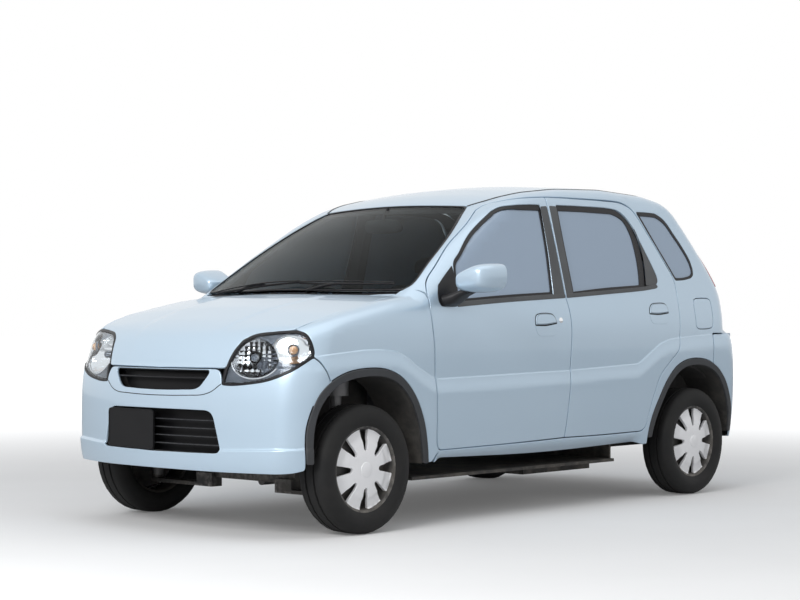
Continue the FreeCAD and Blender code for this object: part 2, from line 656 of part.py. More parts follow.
slot = ((84, -9), (146, -26), (146, 26), (84, 9))
for name, axle, direction in wheels:
    wheel = doc.addObject("PartDesign::Body", "wheel_" + name)
    spun(wheel, "rim_" + name, section(wheel, "rim_section_" + name, rimProfile))
    spun(wheel, "cover_" + name, section(wheel, "cover_section_" + name, coverProfile))
    slotSketch = section(wheel, "slot_outline_" + name, slot, True)
    pocket = wheel.newObject("PartDesign::Pocket", "slot_" + name)
    pocket.Profile = slotSketch
    pocket.Length = 90
    pocket.Reversed = True
    pattern = wheel.newObject("PartDesign::PolarPattern", "slots_" + name)
    pattern.Originals = [pocket]
    pattern.Axis = (slotSketch, ["N_Axis"])
    pattern.Angle = 360
    pattern.setExpression("Occurrences", "Dimensions.coverSlots")
    wheel.Tip = pattern
    setWheel(wheel, axle, direction)
    tyre = doc.addObject("PartDesign::Body", "tyre_" + name)
    spun(tyre, "carcass_" + name, section(tyre, "tyre_section_" + name, tyreProfile))
    setWheel(tyre, axle, direction)
doc.recompute()
for item in nodes:
    if item.TypeId == "PartDesign::Body":
        lap(item.Label, item.Shape)

# Rear axle beam with trailing arms, springs and dampers
beam = [madeRod("axle_tube", (rearAxle, -wheelPlane - 46, hubHeight), (rearAxle, wheelPlane + 46, hubHeight), 28)]
for side, sign in (("left", 1), ("right", -1)):
    beam += [
        madeRod("rear_drum_" + side, (rearAxle, 600 * sign, hubHeight), (rearAxle, (wheelPlane + 40 - fit) * sign, hubHeight), "Dimensions.hubRadius"),
        madeBox("trailing_arm_" + side, ("Dimensions.rearAxleX - 30", -700), (400, 440) if sign > 0 else (-440, -400), (240, 290)),
        madeRod("rear_spring_" + side, (rearAxle, 420 * sign, 280), (rearAxle, 420 * sign, 455.7), 50),
    ]
joined("rear_axle", beam)

# Exhaust and fuel tank
joined("exhaust", [
    madeRod("exhaust_pipe", (1000, -100, 160), (-1400, -100, 160), 20),
    madeRod("tail_pipe", (-1400, -120, 200), (-1640, -200, 190), 18),
    madeBox("silencer", (-1540, -1350), (-330, -70), (150, 290)),
    madeRod("exhaust_hanger", (-1450, -200, 290), (-1450, -200, 456 - fit), 8),
])
nodes.append(madeBox("fuel_tank", (-630, -120), (60, 480), (150, "Dimensions.floorHeight - Dimensions.fit")))

# Seats, dashboard and steering wheel
seats = []
for side, sign in (("left", 1), ("right", -1)):
    def across(low, high):
        return (low, high) if sign > 0 else (-high, -low)
    floorTop = "Dimensions.floorHeight + Dimensions.floorThick + Dimensions.fit"
    seats.append(joined("front_seat_" + side, [
        madeRod("headrest_post_a_" + side, (-408, 290 * sign, 950), (-412, 290 * sign, 1060), 6),
        madeRod("headrest_post_b_" + side, (-408, 390 * sign, 950), (-412, 390 * sign, 1060), 6),
        madeBox("seat_cushion_" + side, (-330, 170), across(110, 570), (300, 470)),
        madeBox("seat_rail_a_" + side, (-300, 140), across(150, 190), (floorTop, 300)),
        madeBox("seat_rail_b_" + side, (-300, 140), across(490, 540), (floorTop, 300)),
        madePrism("seat_back_" + side, ((-330, 400), (-190, 400), (-370, 1010), (-450, 1000)), *across(120, 560)),
        madePrism("headrest_" + side, ((-450, 1010), (-370, 1020), (-385, 1180), (-450, 1180)), *across(230, 450)),
    ]))
joined("rear_seat", [
    madeBox("rear_cushion", (-1060, -560), (-480, 480), (470.3, 560)),
    madePrism("rear_back", ((-1060, 540), (-960, 540), (-1130, 980), (-1220, 980)), -480, 480),
])
dash = prism("side", ((848 - fit, 920), (848 - fit, 500), (620, 520), (480, 700), (500, 860), (600, 915)), -555, 555)
keep("dashboard", dash.cut(rod((330, -330, 860), (900, -330, 603.5), 30)))
wheelHub = Vector(330, -330, 860)
wheelAxis = Vector(1, 0, -0.45)
rimRing = doc.addObject("Part::Torus", "steering_rim")
rimRing.Radius1 = 180
rimRing.Radius2 = 14
rimRing.Placement = FreeCAD.Placement(wheelHub, FreeCAD.Rotation(Vector(0, 0, 1), wheelAxis))
joined("steering_wheel", [
    rimRing,
    madeRod("steering_spoke", (330, -505, 860), (330, -155, 860), 10),
    madeRod("steering_hub", tuple(wheelHub), tuple(wheelHub + Vector(wheelAxis).normalize() * 30), 45),
    madeRod("steering_column", (330, -330, 860), (837.8, -330, 631.5), 24),
])

# Tail lamps on the rear corners
lampBack = panelOf(tailLampRoom, 34)
keep("tail_lamps", bothSides(lap("tail_lamp", lampBack)))

# Mirrors
mirror = fused([
    box((560, 650), (765, 895), (985, 1095)),
    rod((690, 700, 1000), (610, 790, 1020), 20),
])
mirror = max(mirror.cut(doc.getObject("front_door_left").Shape).Solids, key=lambda s: s.Volume)
keep("mirror_left", mirror)
keep("mirror_right", mirrored(mirror))

# Fuel lid with its hinge arm
lid = panelOf(raised("side", flatOf("side", fuelLidOutline, (), -3), 300, wide), 8)
arm = panelOf(box((-1225, -1205), (640, 740), (880, 915)), flangeDepth - fit, 4)
keep("fuel_lid", lap("fuel_lid", fused([lid, arm])))

# Every piece is sound before any file is written
doc.recompute()
for item in doc.Objects:
    troubled = [state for state in item.State if state in ("Invalid", "Error")]
    if troubled:
        raise RuntimeError("%s is %s" % (item.Label, troubled))
for piece in nodes:
    if piece.Shape.isNull() or not piece.Shape.Solids or not piece.Shape.isValid():
        raise RuntimeError("%s has no sound shape" % piece.Label)
os.makedirs("parts", exist_ok=True)
for piece in nodes:
    piece.Shape.exportStep("parts/%s.step" % piece.Label)
print("pieces", len(nodes))
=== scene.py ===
import math
import bpy
import numpy as np
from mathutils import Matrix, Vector
from mathutils.geometry import delaunay_2d_cdt


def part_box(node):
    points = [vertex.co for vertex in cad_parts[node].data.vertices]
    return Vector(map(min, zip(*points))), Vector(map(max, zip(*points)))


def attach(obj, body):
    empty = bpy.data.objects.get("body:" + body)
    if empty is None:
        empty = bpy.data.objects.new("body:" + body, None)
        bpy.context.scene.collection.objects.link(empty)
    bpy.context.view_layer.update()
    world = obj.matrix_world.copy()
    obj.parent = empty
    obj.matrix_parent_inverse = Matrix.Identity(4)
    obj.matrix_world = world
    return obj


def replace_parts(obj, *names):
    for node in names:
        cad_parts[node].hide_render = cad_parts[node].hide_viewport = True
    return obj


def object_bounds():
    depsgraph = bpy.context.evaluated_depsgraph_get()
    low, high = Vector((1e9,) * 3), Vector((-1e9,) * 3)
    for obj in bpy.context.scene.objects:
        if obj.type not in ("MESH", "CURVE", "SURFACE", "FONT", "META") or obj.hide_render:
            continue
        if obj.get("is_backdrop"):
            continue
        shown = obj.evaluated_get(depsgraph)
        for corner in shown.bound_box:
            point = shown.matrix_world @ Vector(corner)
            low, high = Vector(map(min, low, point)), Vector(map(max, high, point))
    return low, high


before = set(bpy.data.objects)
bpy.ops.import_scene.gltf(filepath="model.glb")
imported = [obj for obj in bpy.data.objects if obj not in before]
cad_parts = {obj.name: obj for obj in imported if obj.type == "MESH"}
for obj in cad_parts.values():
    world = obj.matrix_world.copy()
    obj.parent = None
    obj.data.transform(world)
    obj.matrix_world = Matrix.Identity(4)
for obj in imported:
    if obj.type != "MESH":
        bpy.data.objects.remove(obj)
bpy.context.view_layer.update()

# Kei car, dressed. Working lengths are millimetres in the frame's axes: x forward, y left, z up.


def smoothCurve(points, blur=26.0):
    # curve through a short table, softened so that reflections run evenly
    u = np.array([p[0] for p in points], float)
    v = np.array([p[1] for p in points], float)
    if u[0] > u[-1]:
        u, v = u[::-1], v[::-1]
    reach = 5 * blur
    ends = ((v[1] - v[0]) / (u[1] - u[0]), (v[-1] - v[-2]) / (u[-1] - u[-2]))
    step = blur / 6
    w = np.arange(u[0] - reach, u[-1] + reach, step)
    raw = np.interp(w, u, v)
    raw = np.where(w < u[0], v[0] + (w - u[0]) * ends[0], raw)
    raw = np.where(w > u[-1], v[-1] + (w - u[-1]) * ends[1], raw)
    kernel = np.exp(-0.5 * (np.arange(-18, 19) * step / blur) ** 2)
    soft = np.convolve(raw, kernel / kernel.sum(), "same")
    soft[:19], soft[-19:] = raw[:19], raw[-19:]
    slope = np.gradient(soft, step)

    fine = np.arange(w[0], w[-1], 0.5)
    i = np.clip(((fine - w[0]) / step).astype(int), 0, len(w) - 2)
    s = (fine - w[i]) / step
    value = ((1 + 2 * s) * (1 - s) ** 2 * soft[i] + s * (1 - s) ** 2 * step * slope[i]
             + s * s * (3 - 2 * s) * soft[i + 1] + s * s * (s - 1) * step * slope[i + 1])
    # straight on past both ends
    far = 5000.0
    at = np.r_[fine[0] - far, fine, fine[-1] + far]
    value = np.r_[value[0] - far * slope[0], value, value[-1] + far * slope[-1]]
    return lambda q: np.interp(q, at, value)


bodyForm = {
    "halfWidth": [(150, 676), (215, 690), (320, 704), (430, 714), (560, 720), (700, 723), (800, 722),
                  (860, 718.5), (905, 712), (955, 702), (1010, 690), (1150, 657), (1400, 594),
                  (1545, 552)],
    "nose": [(215, 1638), (300, 1680), (430, 1683), (640, 1676), (690, 1666), (740, 1652), (800, 1634),
             (860, 1600), (1010, 1480)],
    "tail": [(215, -1540), (430, -1590), (640, -1606), (800, -1608), (900, -1611), (980, -1608),
             (1030, -1594), (1150, -1512), (1290, -1402), (1400, -1305), (1545, -1140)],
    "screen": [(880, 1140), (1010, 940), (1150, 718), (1290, 480), (1400, 285), (1545, 10)],
    "bonnet": [(840, 1004), (1010, 982), (1150, 955), (1300, 924), (1480, 866), (1560, 828),
               (1612, 792), (1650, 741), (1680, 670)],
    "roof": [(-1500, 1362), (-1330, 1440), (-1180, 1484), (-980, 1514), (-650, 1528), (-300, 1515),
             (-60, 1488), (200, 1436), (320, 1399), (700, 1240)],
    "frontBow": 1800, "frontCorner": 110, "rearBow": 2600, "rearCorner": 95,
    "creaseHeight": 3.0, "creaseAt": 240, "ledge": 9.0, "sillTuck": 60.0,
    "sideBow": 110000, "bonnetCrown": 7000, "roofCrown": 4200, "bonnetEdge": 55, "roofEdge": 45,
    "step": [(-1760, 803), (-1347, 799), (-1046, 783), (-963, 776), (-880, 755), (-780, 703),
             (-700, 661), (-159, 641), (765, 624), (866, 672), (929, 712), (999, 743), (1099, 753),
             (1191, 752), (1389, 737), (1760, 690)],
    "bumperNose": [(200, 1655), (262, 1688), (330, 1695.5), (430, 1695), (560, 1691), (640, 1683),
                   (700, 1668), (760, 1645)],
    "bumperTail": [(200, -1650), (262, -1682), (330, -1690), (430, -1695.5), (560, -1695.5),
                   (640, -1691), (720, -1682), (800, -1668)],
}
halfWidth, noseLine, tailLine, screenLine, bonnetLine, roofLine, bumperNose, bumperTail = (
    smoothCurve(bodyForm[k]) for k in ("halfWidth", "nose", "tail", "screen", "bonnet", "roof",
                                       "bumperNose", "bumperTail"))
stepLine = smoothCurve(bodyForm["step"], 14.0)


def easeIn(t):
    t = np.clip(t, 0, 1)
    return t * t * (3 - 2 * t)


def roundedMax(a, b, radius):
    u, v = np.maximum(a + radius, 0), np.maximum(b + radius, 0)
    return np.minimum(-radius, np.maximum(a, b)) + np.sqrt(u * u + v * v)


def planField(x, y, z, front, rear):
    # side, bowed nose and bowed tail, with rounded corners between them
    f = bodyForm
    below = stepLine(x) - z
    proud = 4.0 * easeIn(below / 5.0) + 8.0 * easeIn(below / 70.0)
    proud -= f["sillTuck"] * easeIn((325.0 - z) / 90.0) * easeIn((760.0 - np.abs(x)) / 80.0)
    side = np.abs(y) - halfWidth(z) + x * x / (2 * f["sideBow"]) - proud
    ahead = np.hypot(x - front + f["frontBow"], y) - f["frontBow"]
    behind = np.hypot(x - rear - f["rearBow"], y) - f["rearBow"]
    return roundedMax(roundedMax(side, ahead, f["frontCorner"]), behind, f["rearCorner"])


def topField(x, y, z, line, crown):
    lean = (line(x + 1.0) - line(x - 1.0)) / 2.0
    return (z - line(x) + y * y / (2 * crown)) / np.sqrt(1 + lean * lean)


def bodyField(x, y, z):
    # below nought inside the closed body, above it outside
    f = bodyForm
    crease = (f["creaseHeight"] * easeIn((f["creaseAt"] + (1640 - x) * 0.13 - np.abs(y)) / 30.0 + 0.5)
              * easeIn((x - 980) / 60.0))
    lower = roundedMax(planField(x, y, z, noseLine(z), tailLine(z)),
                       topField(x, y, z - crease, bonnetLine, f["bonnetCrown"]), f["bonnetEdge"])
    lower = np.where(z > 1010, 1e3, lower)
    side = (np.abs(y) - halfWidth(z) + x * x / (2 * f["sideBow"])
            - 12.0 * easeIn((stepLine(x) - z) / 70.0))
    screen = (np.hypot(x - screenLine(z) + f["frontBow"], y) - f["frontBow"]) * 0.52
    rear = np.hypot(x - tailLine(z) - f["rearBow"], y) - f["rearBow"]
    cabin = roundedMax(roundedMax(side, screen, 70.0), rear, f["rearCorner"])
    cabin = roundedMax(cabin, topField(x, y, z, roofLine, f["roofCrown"]), f["roofEdge"])
    cabin = np.where(z < 880, 1e3, cabin)
    ledge = np.where(x > 0, f["ledge"] * easeIn((356 + (np.abs(y) - 366) * 0.035 - z) / 10.0), 0.0)
    bumper = planField(x, y, z, bumperNose(z), bumperTail(z)) - ledge
    bumper = roundedMax(bumper, z - np.where(x > 0, 690.0, 800.0), 14.0)
    bumper = np.where((z < 820) & (np.abs(x) > 1250), bumper, 1e3)
    return np.minimum(bumper, np.minimum(lower, cabin))


def normalAt(points, field=bodyField, reach=1.5):
    p = np.asarray(points, float)
    grad = np.zeros_like(p)
    for k in range(3):
        shift = np.zeros(3)
        shift[k] = reach
        grad[:, k] = field(*(p + shift).T) - field(*(p - shift).T)
    return grad / np.maximum(np.linalg.norm(grad, axis=1), 1e-9)[:, None]


def castOnto(origin, ray, near, far, field=bodyField, stride=20.0):
    # first place where each ray enters the body
    n = len(origin)
    low, high = np.full(n, float(near)), np.full(n, float(far))
    left = np.arange(n)
    stops = np.arange(near, far + stride, stride)
    for a, b in zip(stops[:-1], stops[1:]):
        if not len(left):
            break
        hit = field(*(origin[left] + ray[left] * b).T) <= 0
        low[left[hit]], high[left[hit]] = a, b
        left = left[~hit]
    for _ in range(15):
        middle = (low + high) / 2
        under = field(*(origin + ray * middle[:, None]).T) <= 0
        high = np.where(under, middle, high)
        low = np.where(under, low, middle)
    return origin + ray * ((low + high) / 2)[:, None]


# Ways of looking at the skin: each gives flat places for points, and rays for flat places
class StraightView:
    def __init__(self, ray, near=1000, far=3400):
        self.ray = np.array(ray, float) / np.linalg.norm(ray)
        across = np.cross(self.ray, (0, 0, 1)) if abs(self.ray[2]) < 0.98 else np.array((1.0, 0, 0))
        self.u = across / np.linalg.norm(across)
        self.v = np.cross(self.u, self.ray)
        self.near, self.far = near, far

    def flat(self, p):
        return np.column_stack([p @ self.u, p @ self.v])

    def rays(self, q):
        start = q[:, :1] * self.u + q[:, 1:] * self.v - self.ray * 2200
        return start, np.tile(self.ray, (len(q), 1))


class DrumView:
    # rays come square onto an axis line; angles count from the given start
    def __init__(self, axis, centre, start, radius=650.0, near=1500, far=2950):
        self.a = "xyz".index(axis)
        self.b, self.c = [k for k in range(3) if k != self.a]
        self.centre, self.start, self.radius = np.array(centre, float), start, radius
        self.near, self.far = near, far

    def flat(self, p):
        r = p - self.centre
        angle = np.arctan2(r[:, self.c], r[:, self.b]) - self.start
        angle = (angle + np.pi) % (2 * np.pi) - np.pi
        return np.column_stack([p[:, self.a], angle * self.radius])

    def rays(self, q):
        angle = q[:, 1] / self.radius + self.start
        out = np.zeros((len(q), 3))
        out[:, self.b], out[:, self.c] = np.cos(angle), np.sin(angle)
        origin = self.centre + out * 3000
        origin[:, self.a] = q[:, 0]
        return origin, -out


class FlankView:
    # rays come square onto a line inside the cabin, and fan out past its ends
    front, rear, y, z, radius = 1100.0, -1000.0, 100.0, 700.0, 620.0
    near, far = 1500, 2950

    def flat(self, p):
        x = np.clip(p[:, 0], self.rear, self.front)
        r = p - np.column_stack([x, np.full(len(p), self.y), np.full(len(p), self.z)])
        past = np.arctan2(r[:, 0], np.hypot(r[:, 1], r[:, 2]))
        return np.column_stack([x + self.radius * past, self.radius * np.arctan2(r[:, 2], r[:, 1])])

    def rays(self, q):
        x = np.clip(q[:, 0], self.rear, self.front)
        past, turn = (q[:, 0] - x) / self.radius, q[:, 1] / self.radius
        out = np.column_stack([np.sin(past), np.cos(past) * np.cos(turn), np.cos(past) * np.sin(turn)])
        origin = np.column_stack([x, np.full(len(q), self.y), np.full(len(q), self.z)])
        return origin + out * 3000, -out


flank = FlankView()
noseView = DrumView("z", (1000, 0, 0), 0.0)
tailDrum = DrumView("z", (-1000, 0, 0), math.pi)
bonnetView = DrumView("y", (1000, 0, 300), math.pi / 2, 700.0)
roofView = StraightView((0, 0, -1), 300, 2100)
gateView = DrumView("y", (-1000, 0, 700), math.pi, 700.0)
screenView = StraightView((-0.6, 0, -0.8), 300, 3200)


def onSide(points):
    # side-view places (x, z) put on the left side, and full places left as they are
    given = np.array([(p[0], p[1], p[2]) if len(p) == 3 else (p[0], 1000.0, p[1]) for p in points],
                     float)
    loose = np.array([len(p) == 2 for p in points])
    if loose.any():
        start = given[loose] + (0, 1200, 0)
        given[loose] = castOnto(start, np.tile((0.0, -1.0, 0.0), (loose.sum(), 1)), 1200, 1950)
    return given


def dense(points, spacing=9.0):
    # smooth line through points, with a point about every spacing
    p = np.asarray(points, float)
    if len(p) == 2:
        n = max(2, int(np.linalg.norm(p[1] - p[0]) / spacing))
        return p[0] + (p[1] - p[0]) * np.linspace(0, 1, n + 1)[:, None]
    ends = np.vstack([2 * p[0] - p[1], p, 2 * p[-1] - p[-2]])
    out = []
    for a, b, c, d in zip(ends[:-3], ends[1:-2], ends[2:-1], ends[3:]):
        n = max(1, int(np.linalg.norm(c - b) / spacing))
        t = np.linspace(0, 1, n, endpoint=False)[:, None]
        # slopes are measured by chord length, so uneven points don't make it swing
        k0, k1, k2 = (max(np.linalg.norm(q), 1e-6) ** 0.5 for q in (b - a, c - b, d - c))
        m1 = (c - b) + k1 * ((b - a) / k0 - (c - a) / (k0 + k1))
        m2 = (c - b) + k1 * ((d - c) / k2 - (d - b) / (k1 + k2))
        out.append((2 * t ** 3 - 3 * t ** 2 + 1) * b + (t ** 3 - 2 * t ** 2 + t) * m1
                   + (3 * t ** 2 - 2 * t ** 3) * c + (t ** 3 - t ** 2) * m2)
    return np.vstack(out + [p[-1:]])


def loopOf(*lines):
    # one closed loop from lines laid end to end
    return np.vstack([dense(onSide(line))[:-1] if len(line) < 60 else line[:-1] for line in lines])


def evenLoop(flat, spacing=7.0, soften=1):
    # a closed flat outline with even spacing and slightly rounded corners, anticlockwise
    closed = np.vstack([flat, flat[:1]])
    along = np.r_[0, np.cumsum(np.linalg.norm(np.diff(closed, axis=0), axis=1))]
    n = max(12, int(along[-1] / spacing))
    at = np.linspace(0, along[-1], n, endpoint=False)
    even = np.column_stack([np.interp(at, along, closed[:, k]) for k in (0, 1)])
    for _ in range(soften):
        even = (np.roll(even, 1, 0) + 2 * even + np.roll(even, -1, 0)) / 4
    x, y = even.T
    return even if np.sum(x * np.roll(y, -1) - np.roll(x, -1) * y) > 0 else even[::-1]


def drawIn(loop, distance):
    # each point moves square to the outline, inwards for an anticlockwise loop
    along = np.roll(loop, -1, 0) - np.roll(loop, 1, 0)
    along /= np.maximum(np.linalg.norm(along, axis=1), 1e-9)[:, None]
    return loop + np.column_stack([-along[:, 1], along[:, 0]]) * distance


def within(loop, points):
    # which points lie inside a closed flat outline
    x, y = points[:, 0][:, None], points[:, 1][:, None]
    ax, ay = loop.T
    bx, by = np.roll(loop, -1, 0).T
    crosses = (ay > y) != (by > y)
    with np.errstate(divide="ignore", invalid="ignore"):
        at = (bx - ax) * (y - ay) / (by - ay) + ax
    return np.sum(crosses & (x < at), axis=1) % 2 == 1


# Materials: effects that several finishes share are node groups
def newGroup(name, inputs, outputs):
    group = bpy.data.node_groups.new(name, "ShaderNodeTree")
    for label, value in inputs.items():
        group.interface.new_socket(name=label, in_out="INPUT",
                                   socket_type="NodeSocketFloat").default_value = value
    for label, kind in outputs.items():
        group.interface.new_socket(name=label, in_out="OUTPUT", socket_type=kind)
    return group, group.nodes.new("NodeGroupInput").outputs, group.nodes.new("NodeGroupOutput").inputs


def addNode(tree, kind, links, **settings):
    # settings with a leading small letter are the node's own; links go to sockets by name or number
    node = tree.nodes.new("ShaderNode" + kind)
    for key, value in settings.items():
        setattr(node, key, value)
    for key, value in links.items():
        socket = node.inputs[key]
        if isinstance(value, bpy.types.NodeSocket):
            tree.links.new(value, socket)
        else:
            socket.default_value = value
    return node


def mathNode(tree, operation, *values):
    return addNode(tree, "Math", dict(enumerate(values)), operation=operation).outputs[0]


def placeOf(tree):
    return addNode(tree, "TexCoord", {}).outputs["Object"]


def ramp(tree, value, low, high):
    return addNode(tree, "MapRange", {"Value": value, "From Min": low, "From Max": high},
                   interpolation_type="SMOOTHSTEP").outputs[0]


def flakeGroup():
    g, given, out = newGroup("metallicFlake", {"Scale": 2600.0, "Peel": 0.02},
                             {"Tone": "NodeSocketFloat", "Normal": "NodeSocketVector"})
    where = placeOf(g)
    flakes = addNode(g, "TexVoronoi", {"Vector": where, "Scale": given["Scale"]})
    cloud = addNode(g, "TexNoise", {"Vector": where, "Scale": 1.4, "Detail": 1.0})
    mixed = mathNode(g, "MULTIPLY_ADD",
                     addNode(g, "SeparateColor", {"Color": flakes.outputs["Color"]}).outputs[0], 0.7,
                     cloud.outputs[0])
    g.links.new(mathNode(g, "MULTIPLY", mixed, 0.6), out["Tone"])
    peel = addNode(g, "TexNoise", {"Vector": where, "Scale": 190.0, "Detail": 1.0})
    bump = addNode(g, "Bump", {"Strength": given["Peel"], "Distance": 0.001, "Height": peel.outputs[0]})
    g.links.new(bump.outputs[0], out["Normal"])
    return g


def dustGroup():
    g, given, out = newGroup("roadDust", {"Top": 0.55, "Amount": 0.3}, {"Mask": "NodeSocketFloat"})
    where = placeOf(g)
    height = addNode(g, "SeparateXYZ", {"Vector": where}).outputs[2]
    speck = addNode(g, "TexNoise",
                    {"Vector": where, "Scale": 9.0, "Detail": 6.0, "Roughness": 0.65}).outputs[0]
    low = ramp(g, mathNode(g, "DIVIDE", height, given["Top"]), 1.0, 0.0)
    g.links.new(mathNode(g, "MULTIPLY", mathNode(g, "MULTIPLY", low, ramp(g, speck, 0.3, 0.75)),
                         given["Amount"]), out["Mask"])
    return g


def grainGroup():
    g, given, out = newGroup("mouldedGrain", {"Scale": 900.0, "Depth": 0.25},
                             {"Height": "NodeSocketFloat", "Tone": "NodeSocketFloat"})
    where = placeOf(g)
    cells = addNode(g, "TexVoronoi", {"Vector": where, "Scale": given["Scale"]},
                    feature="SMOOTH_F1").outputs["Distance"]
    patch = addNode(g, "TexNoise", {"Vector": where, "Scale": 6.0, "Detail": 4.0}).outputs[0]
    g.links.new(mathNode(g, "MULTIPLY", cells, given["Depth"]), out["Height"])
    g.links.new(ramp(g, patch, 0.25, 0.8), out["Tone"])
    return g


def weaveGroup():
    g, given, out = newGroup("clothWeave", {"Scale": 620.0, "Slub": 0.4},
                             {"Height": "NodeSocketFloat", "Tone": "NodeSocketFloat"})
    where = addNode(g, "VectorMath", {0: placeOf(g), "Scale": given["Scale"]},
                    operation="SCALE").outputs[0]
    axis = addNode(g, "SeparateXYZ", {"Vector": where}).outputs
    warp = mathNode(g, "SINE", mathNode(g, "ADD", axis[0], axis[2]))
    weft = mathNode(g, "SINE", mathNode(g, "SUBTRACT", axis[1], axis[2]))
    cross = mathNode(g, "MULTIPLY", warp, weft)
    slub = addNode(g, "TexNoise", {"Vector": placeOf(g), "Scale": 60.0, "Detail": 5.0}).outputs[0]
    g.links.new(mathNode(g, "MULTIPLY_ADD", slub, given["Slub"], mathNode(g, "MULTIPLY", cross, 0.3)),
                out["Height"])
    g.links.new(ramp(g, slub, 0.3, 0.7), out["Tone"])
    return g


def wearGroup():
    g, given, out = newGroup("edgeWear", {"Low": 0.52, "High": 0.6}, {"Mask": "NodeSocketFloat"})
    edge = addNode(g, "NewGeometry", {}).outputs["Pointiness"]
    rough = addNode(g, "TexNoise", {"Vector": placeOf(g), "Scale": 45.0, "Detail": 6.0}).outputs[0]
    found = addNode(g, "MapRange",
                    {"Value": edge, "From Min": given["Low"], "From Max": given["High"]}).outputs[0]
    g.links.new(mathNode(g, "MULTIPLY", found, ramp(g, rough, 0.35, 0.7)), out["Mask"])
    return g


shared = {"flake": flakeGroup(), "dust": dustGroup(), "grain": grainGroup(), "weave": weaveGroup(),
          "wear": wearGroup()}


def useGroup(tree, name, **values):
    node = tree.nodes.new("ShaderNodeGroup")
    node.node_tree = shared[name]
    for key, value in values.items():
        node.inputs[key].default_value = value
    return node.outputs


def blendColour(tree, mask, first, second):
    node = addNode(tree, "Mix", {0: mask, 6: first, 7: second}, data_type="RGBA")
    return node.outputs[2]


dustColour = (0.30, 0.27, 0.23, 1)
finishes = {}


def newFinish(name, slot, colour, second=None, rough=0.4, roughMore=0.1, grain=None, weave=None,
              flake=None, bump=0.3, dust=0.0, dustTop=0.6, wear=None, **sockets):
    # one Principled BSDF: a two-tone base, its own surface detail, then dust and edge wear
    made = bpy.data.materials.new(name)
    made.use_nodes = True
    tree = made.node_tree
    shader = tree.nodes["Principled BSDF"]
    colour = tuple(colour) + (1,)
    second = tuple(second) + (1,) if second else tuple(c * 0.82 for c in colour[:3]) + (1,)
    if flake:
        detail = useGroup(tree, "flake", Peel=flake)
        tree.links.new(detail["Normal"], shader.inputs["Normal"])
        tree.links.new(detail["Normal"], shader.inputs["Coat Normal"])
    else:
        detail = (useGroup(tree, "weave", Scale=weave) if weave
                  else useGroup(tree, "grain", Scale=grain or 900.0))
        lift = addNode(tree, "Bump",
                       {"Strength": bump, "Distance": 0.0006 if weave else 0.0003,
                        "Height": detail["Height"]})
        tree.links.new(lift.outputs[0], shader.inputs["Normal"])
    base = blendColour(tree, detail["Tone"], second, colour)
    if wear:
        worn = useGroup(tree, "wear")["Mask"]
        base = blendColour(tree, worn, base, tuple(wear) + (1,))
    roughness = mathNode(tree, "MULTIPLY_ADD", detail["Tone"], -roughMore, rough + roughMore)
    if dust:
        film = useGroup(tree, "dust", Top=dustTop, Amount=dust)["Mask"]
        base = blendColour(tree, film, base, dustColour)
        roughness = mathNode(tree, "MULTIPLY_ADD", film, 0.5, roughness)
    tree.links.new(base, shader.inputs["Base Color"])
    tree.links.new(roughness, shader.inputs["Roughness"])
    for key, value in sockets.items():
        shader.inputs[key.replace("_", " ")].default_value = value
    finishes[name] = (made, slot)


newFinish("paint", "paint", (0.50, 0.62, 0.73), (0.44, 0.57, 0.69), rough=0.30, roughMore=0.08,
          flake=0.02, dust=0.10, dustTop=0.45, Metallic=0.36, Coat_Weight=0.6, Coat_Roughness=0.03)
newFinish("blackTrim", "black_plastic", (0.010, 0.010, 0.012), (0.016, 0.016, 0.018), rough=0.32,
          dust=0.03, Specular_IOR_Level=0.25)
newFinish("greyTrim", "dark_plastic", (0.030, 0.032, 0.036), (0.045, 0.048, 0.053), rough=0.55,
          grain=1300.0, dust=0.12, dustTop=0.6, wear=(0.08, 0.08, 0.085), Specular_IOR_Level=0.35)
newFinish("sashFilm", "dark_plastic", (0.065, 0.070, 0.075), (0.05, 0.053, 0.057), rough=0.42,
          grain=1800.0, bump=0.12)
newFinish("underside", "dark_steel", (0.018, 0.018, 0.019), (0.035, 0.034, 0.033), rough=0.7,
          grain=300.0, dust=0.5, dustTop=0.8)
newFinish("castMetal", "cast_metal", (0.22, 0.22, 0.225), (0.15, 0.15, 0.155), rough=0.5, grain=420.0,
          dust=0.3, Metallic=0.8)
newFinish("darkSteel", "dark_steel", (0.03, 0.03, 0.032), (0.05, 0.05, 0.05), rough=0.45, grain=700.0,
          dust=0.3, wear=(0.2, 0.19, 0.18), Metallic=0.5)
newFinish("coverSilver", "wheel_silver", (0.90, 0.90, 0.91), (0.84, 0.84, 0.86), rough=0.30,
          flake=0.015, dust=0.02, Metallic=0.10, Coat_Weight=0.4)
newFinish("tyreRubber", "tyre", (0.014, 0.014, 0.015), (0.02, 0.02, 0.02), rough=0.62, grain=1500.0,
          dust=0.02, dustTop=0.4, Specular_IOR_Level=0.2)
newFinish("lampBezel", "lamp_lens", (0.13, 0.15, 0.185), (0.10, 0.115, 0.14), rough=0.32, grain=300.0,
          bump=0.02, Metallic=0.3, Coat_Weight=0.2)
newFinish("bulbAmber", "lamp_lens", (0.72, 0.40, 0.20), (0.60, 0.32, 0.15), rough=0.22, grain=400.0,
          bump=0.05, Coat_Weight=0.6)
newFinish("chrome", "lamp_lens", (0.86, 0.87, 0.88), (0.8, 0.81, 0.83), rough=0.08, roughMore=0.04,
          bump=0.02, Metallic=1.0)
newFinish("seatCloth", "seat_cloth", (0.20, 0.21, 0.23), (0.13, 0.14, 0.155), rough=0.9, weave=620.0,
          bump=0.7, Sheen_Weight=0.35)
newFinish("seatSide", "seat_cloth", (0.10, 0.105, 0.115), (0.07, 0.073, 0.08), rough=0.9, weave=900.0,
          bump=0.5, Sheen_Weight=0.2)
newFinish("dashGrey", "dark_plastic", (0.085, 0.088, 0.095), (0.06, 0.062, 0.068), rough=0.62,
          grain=800.0, bump=0.4)
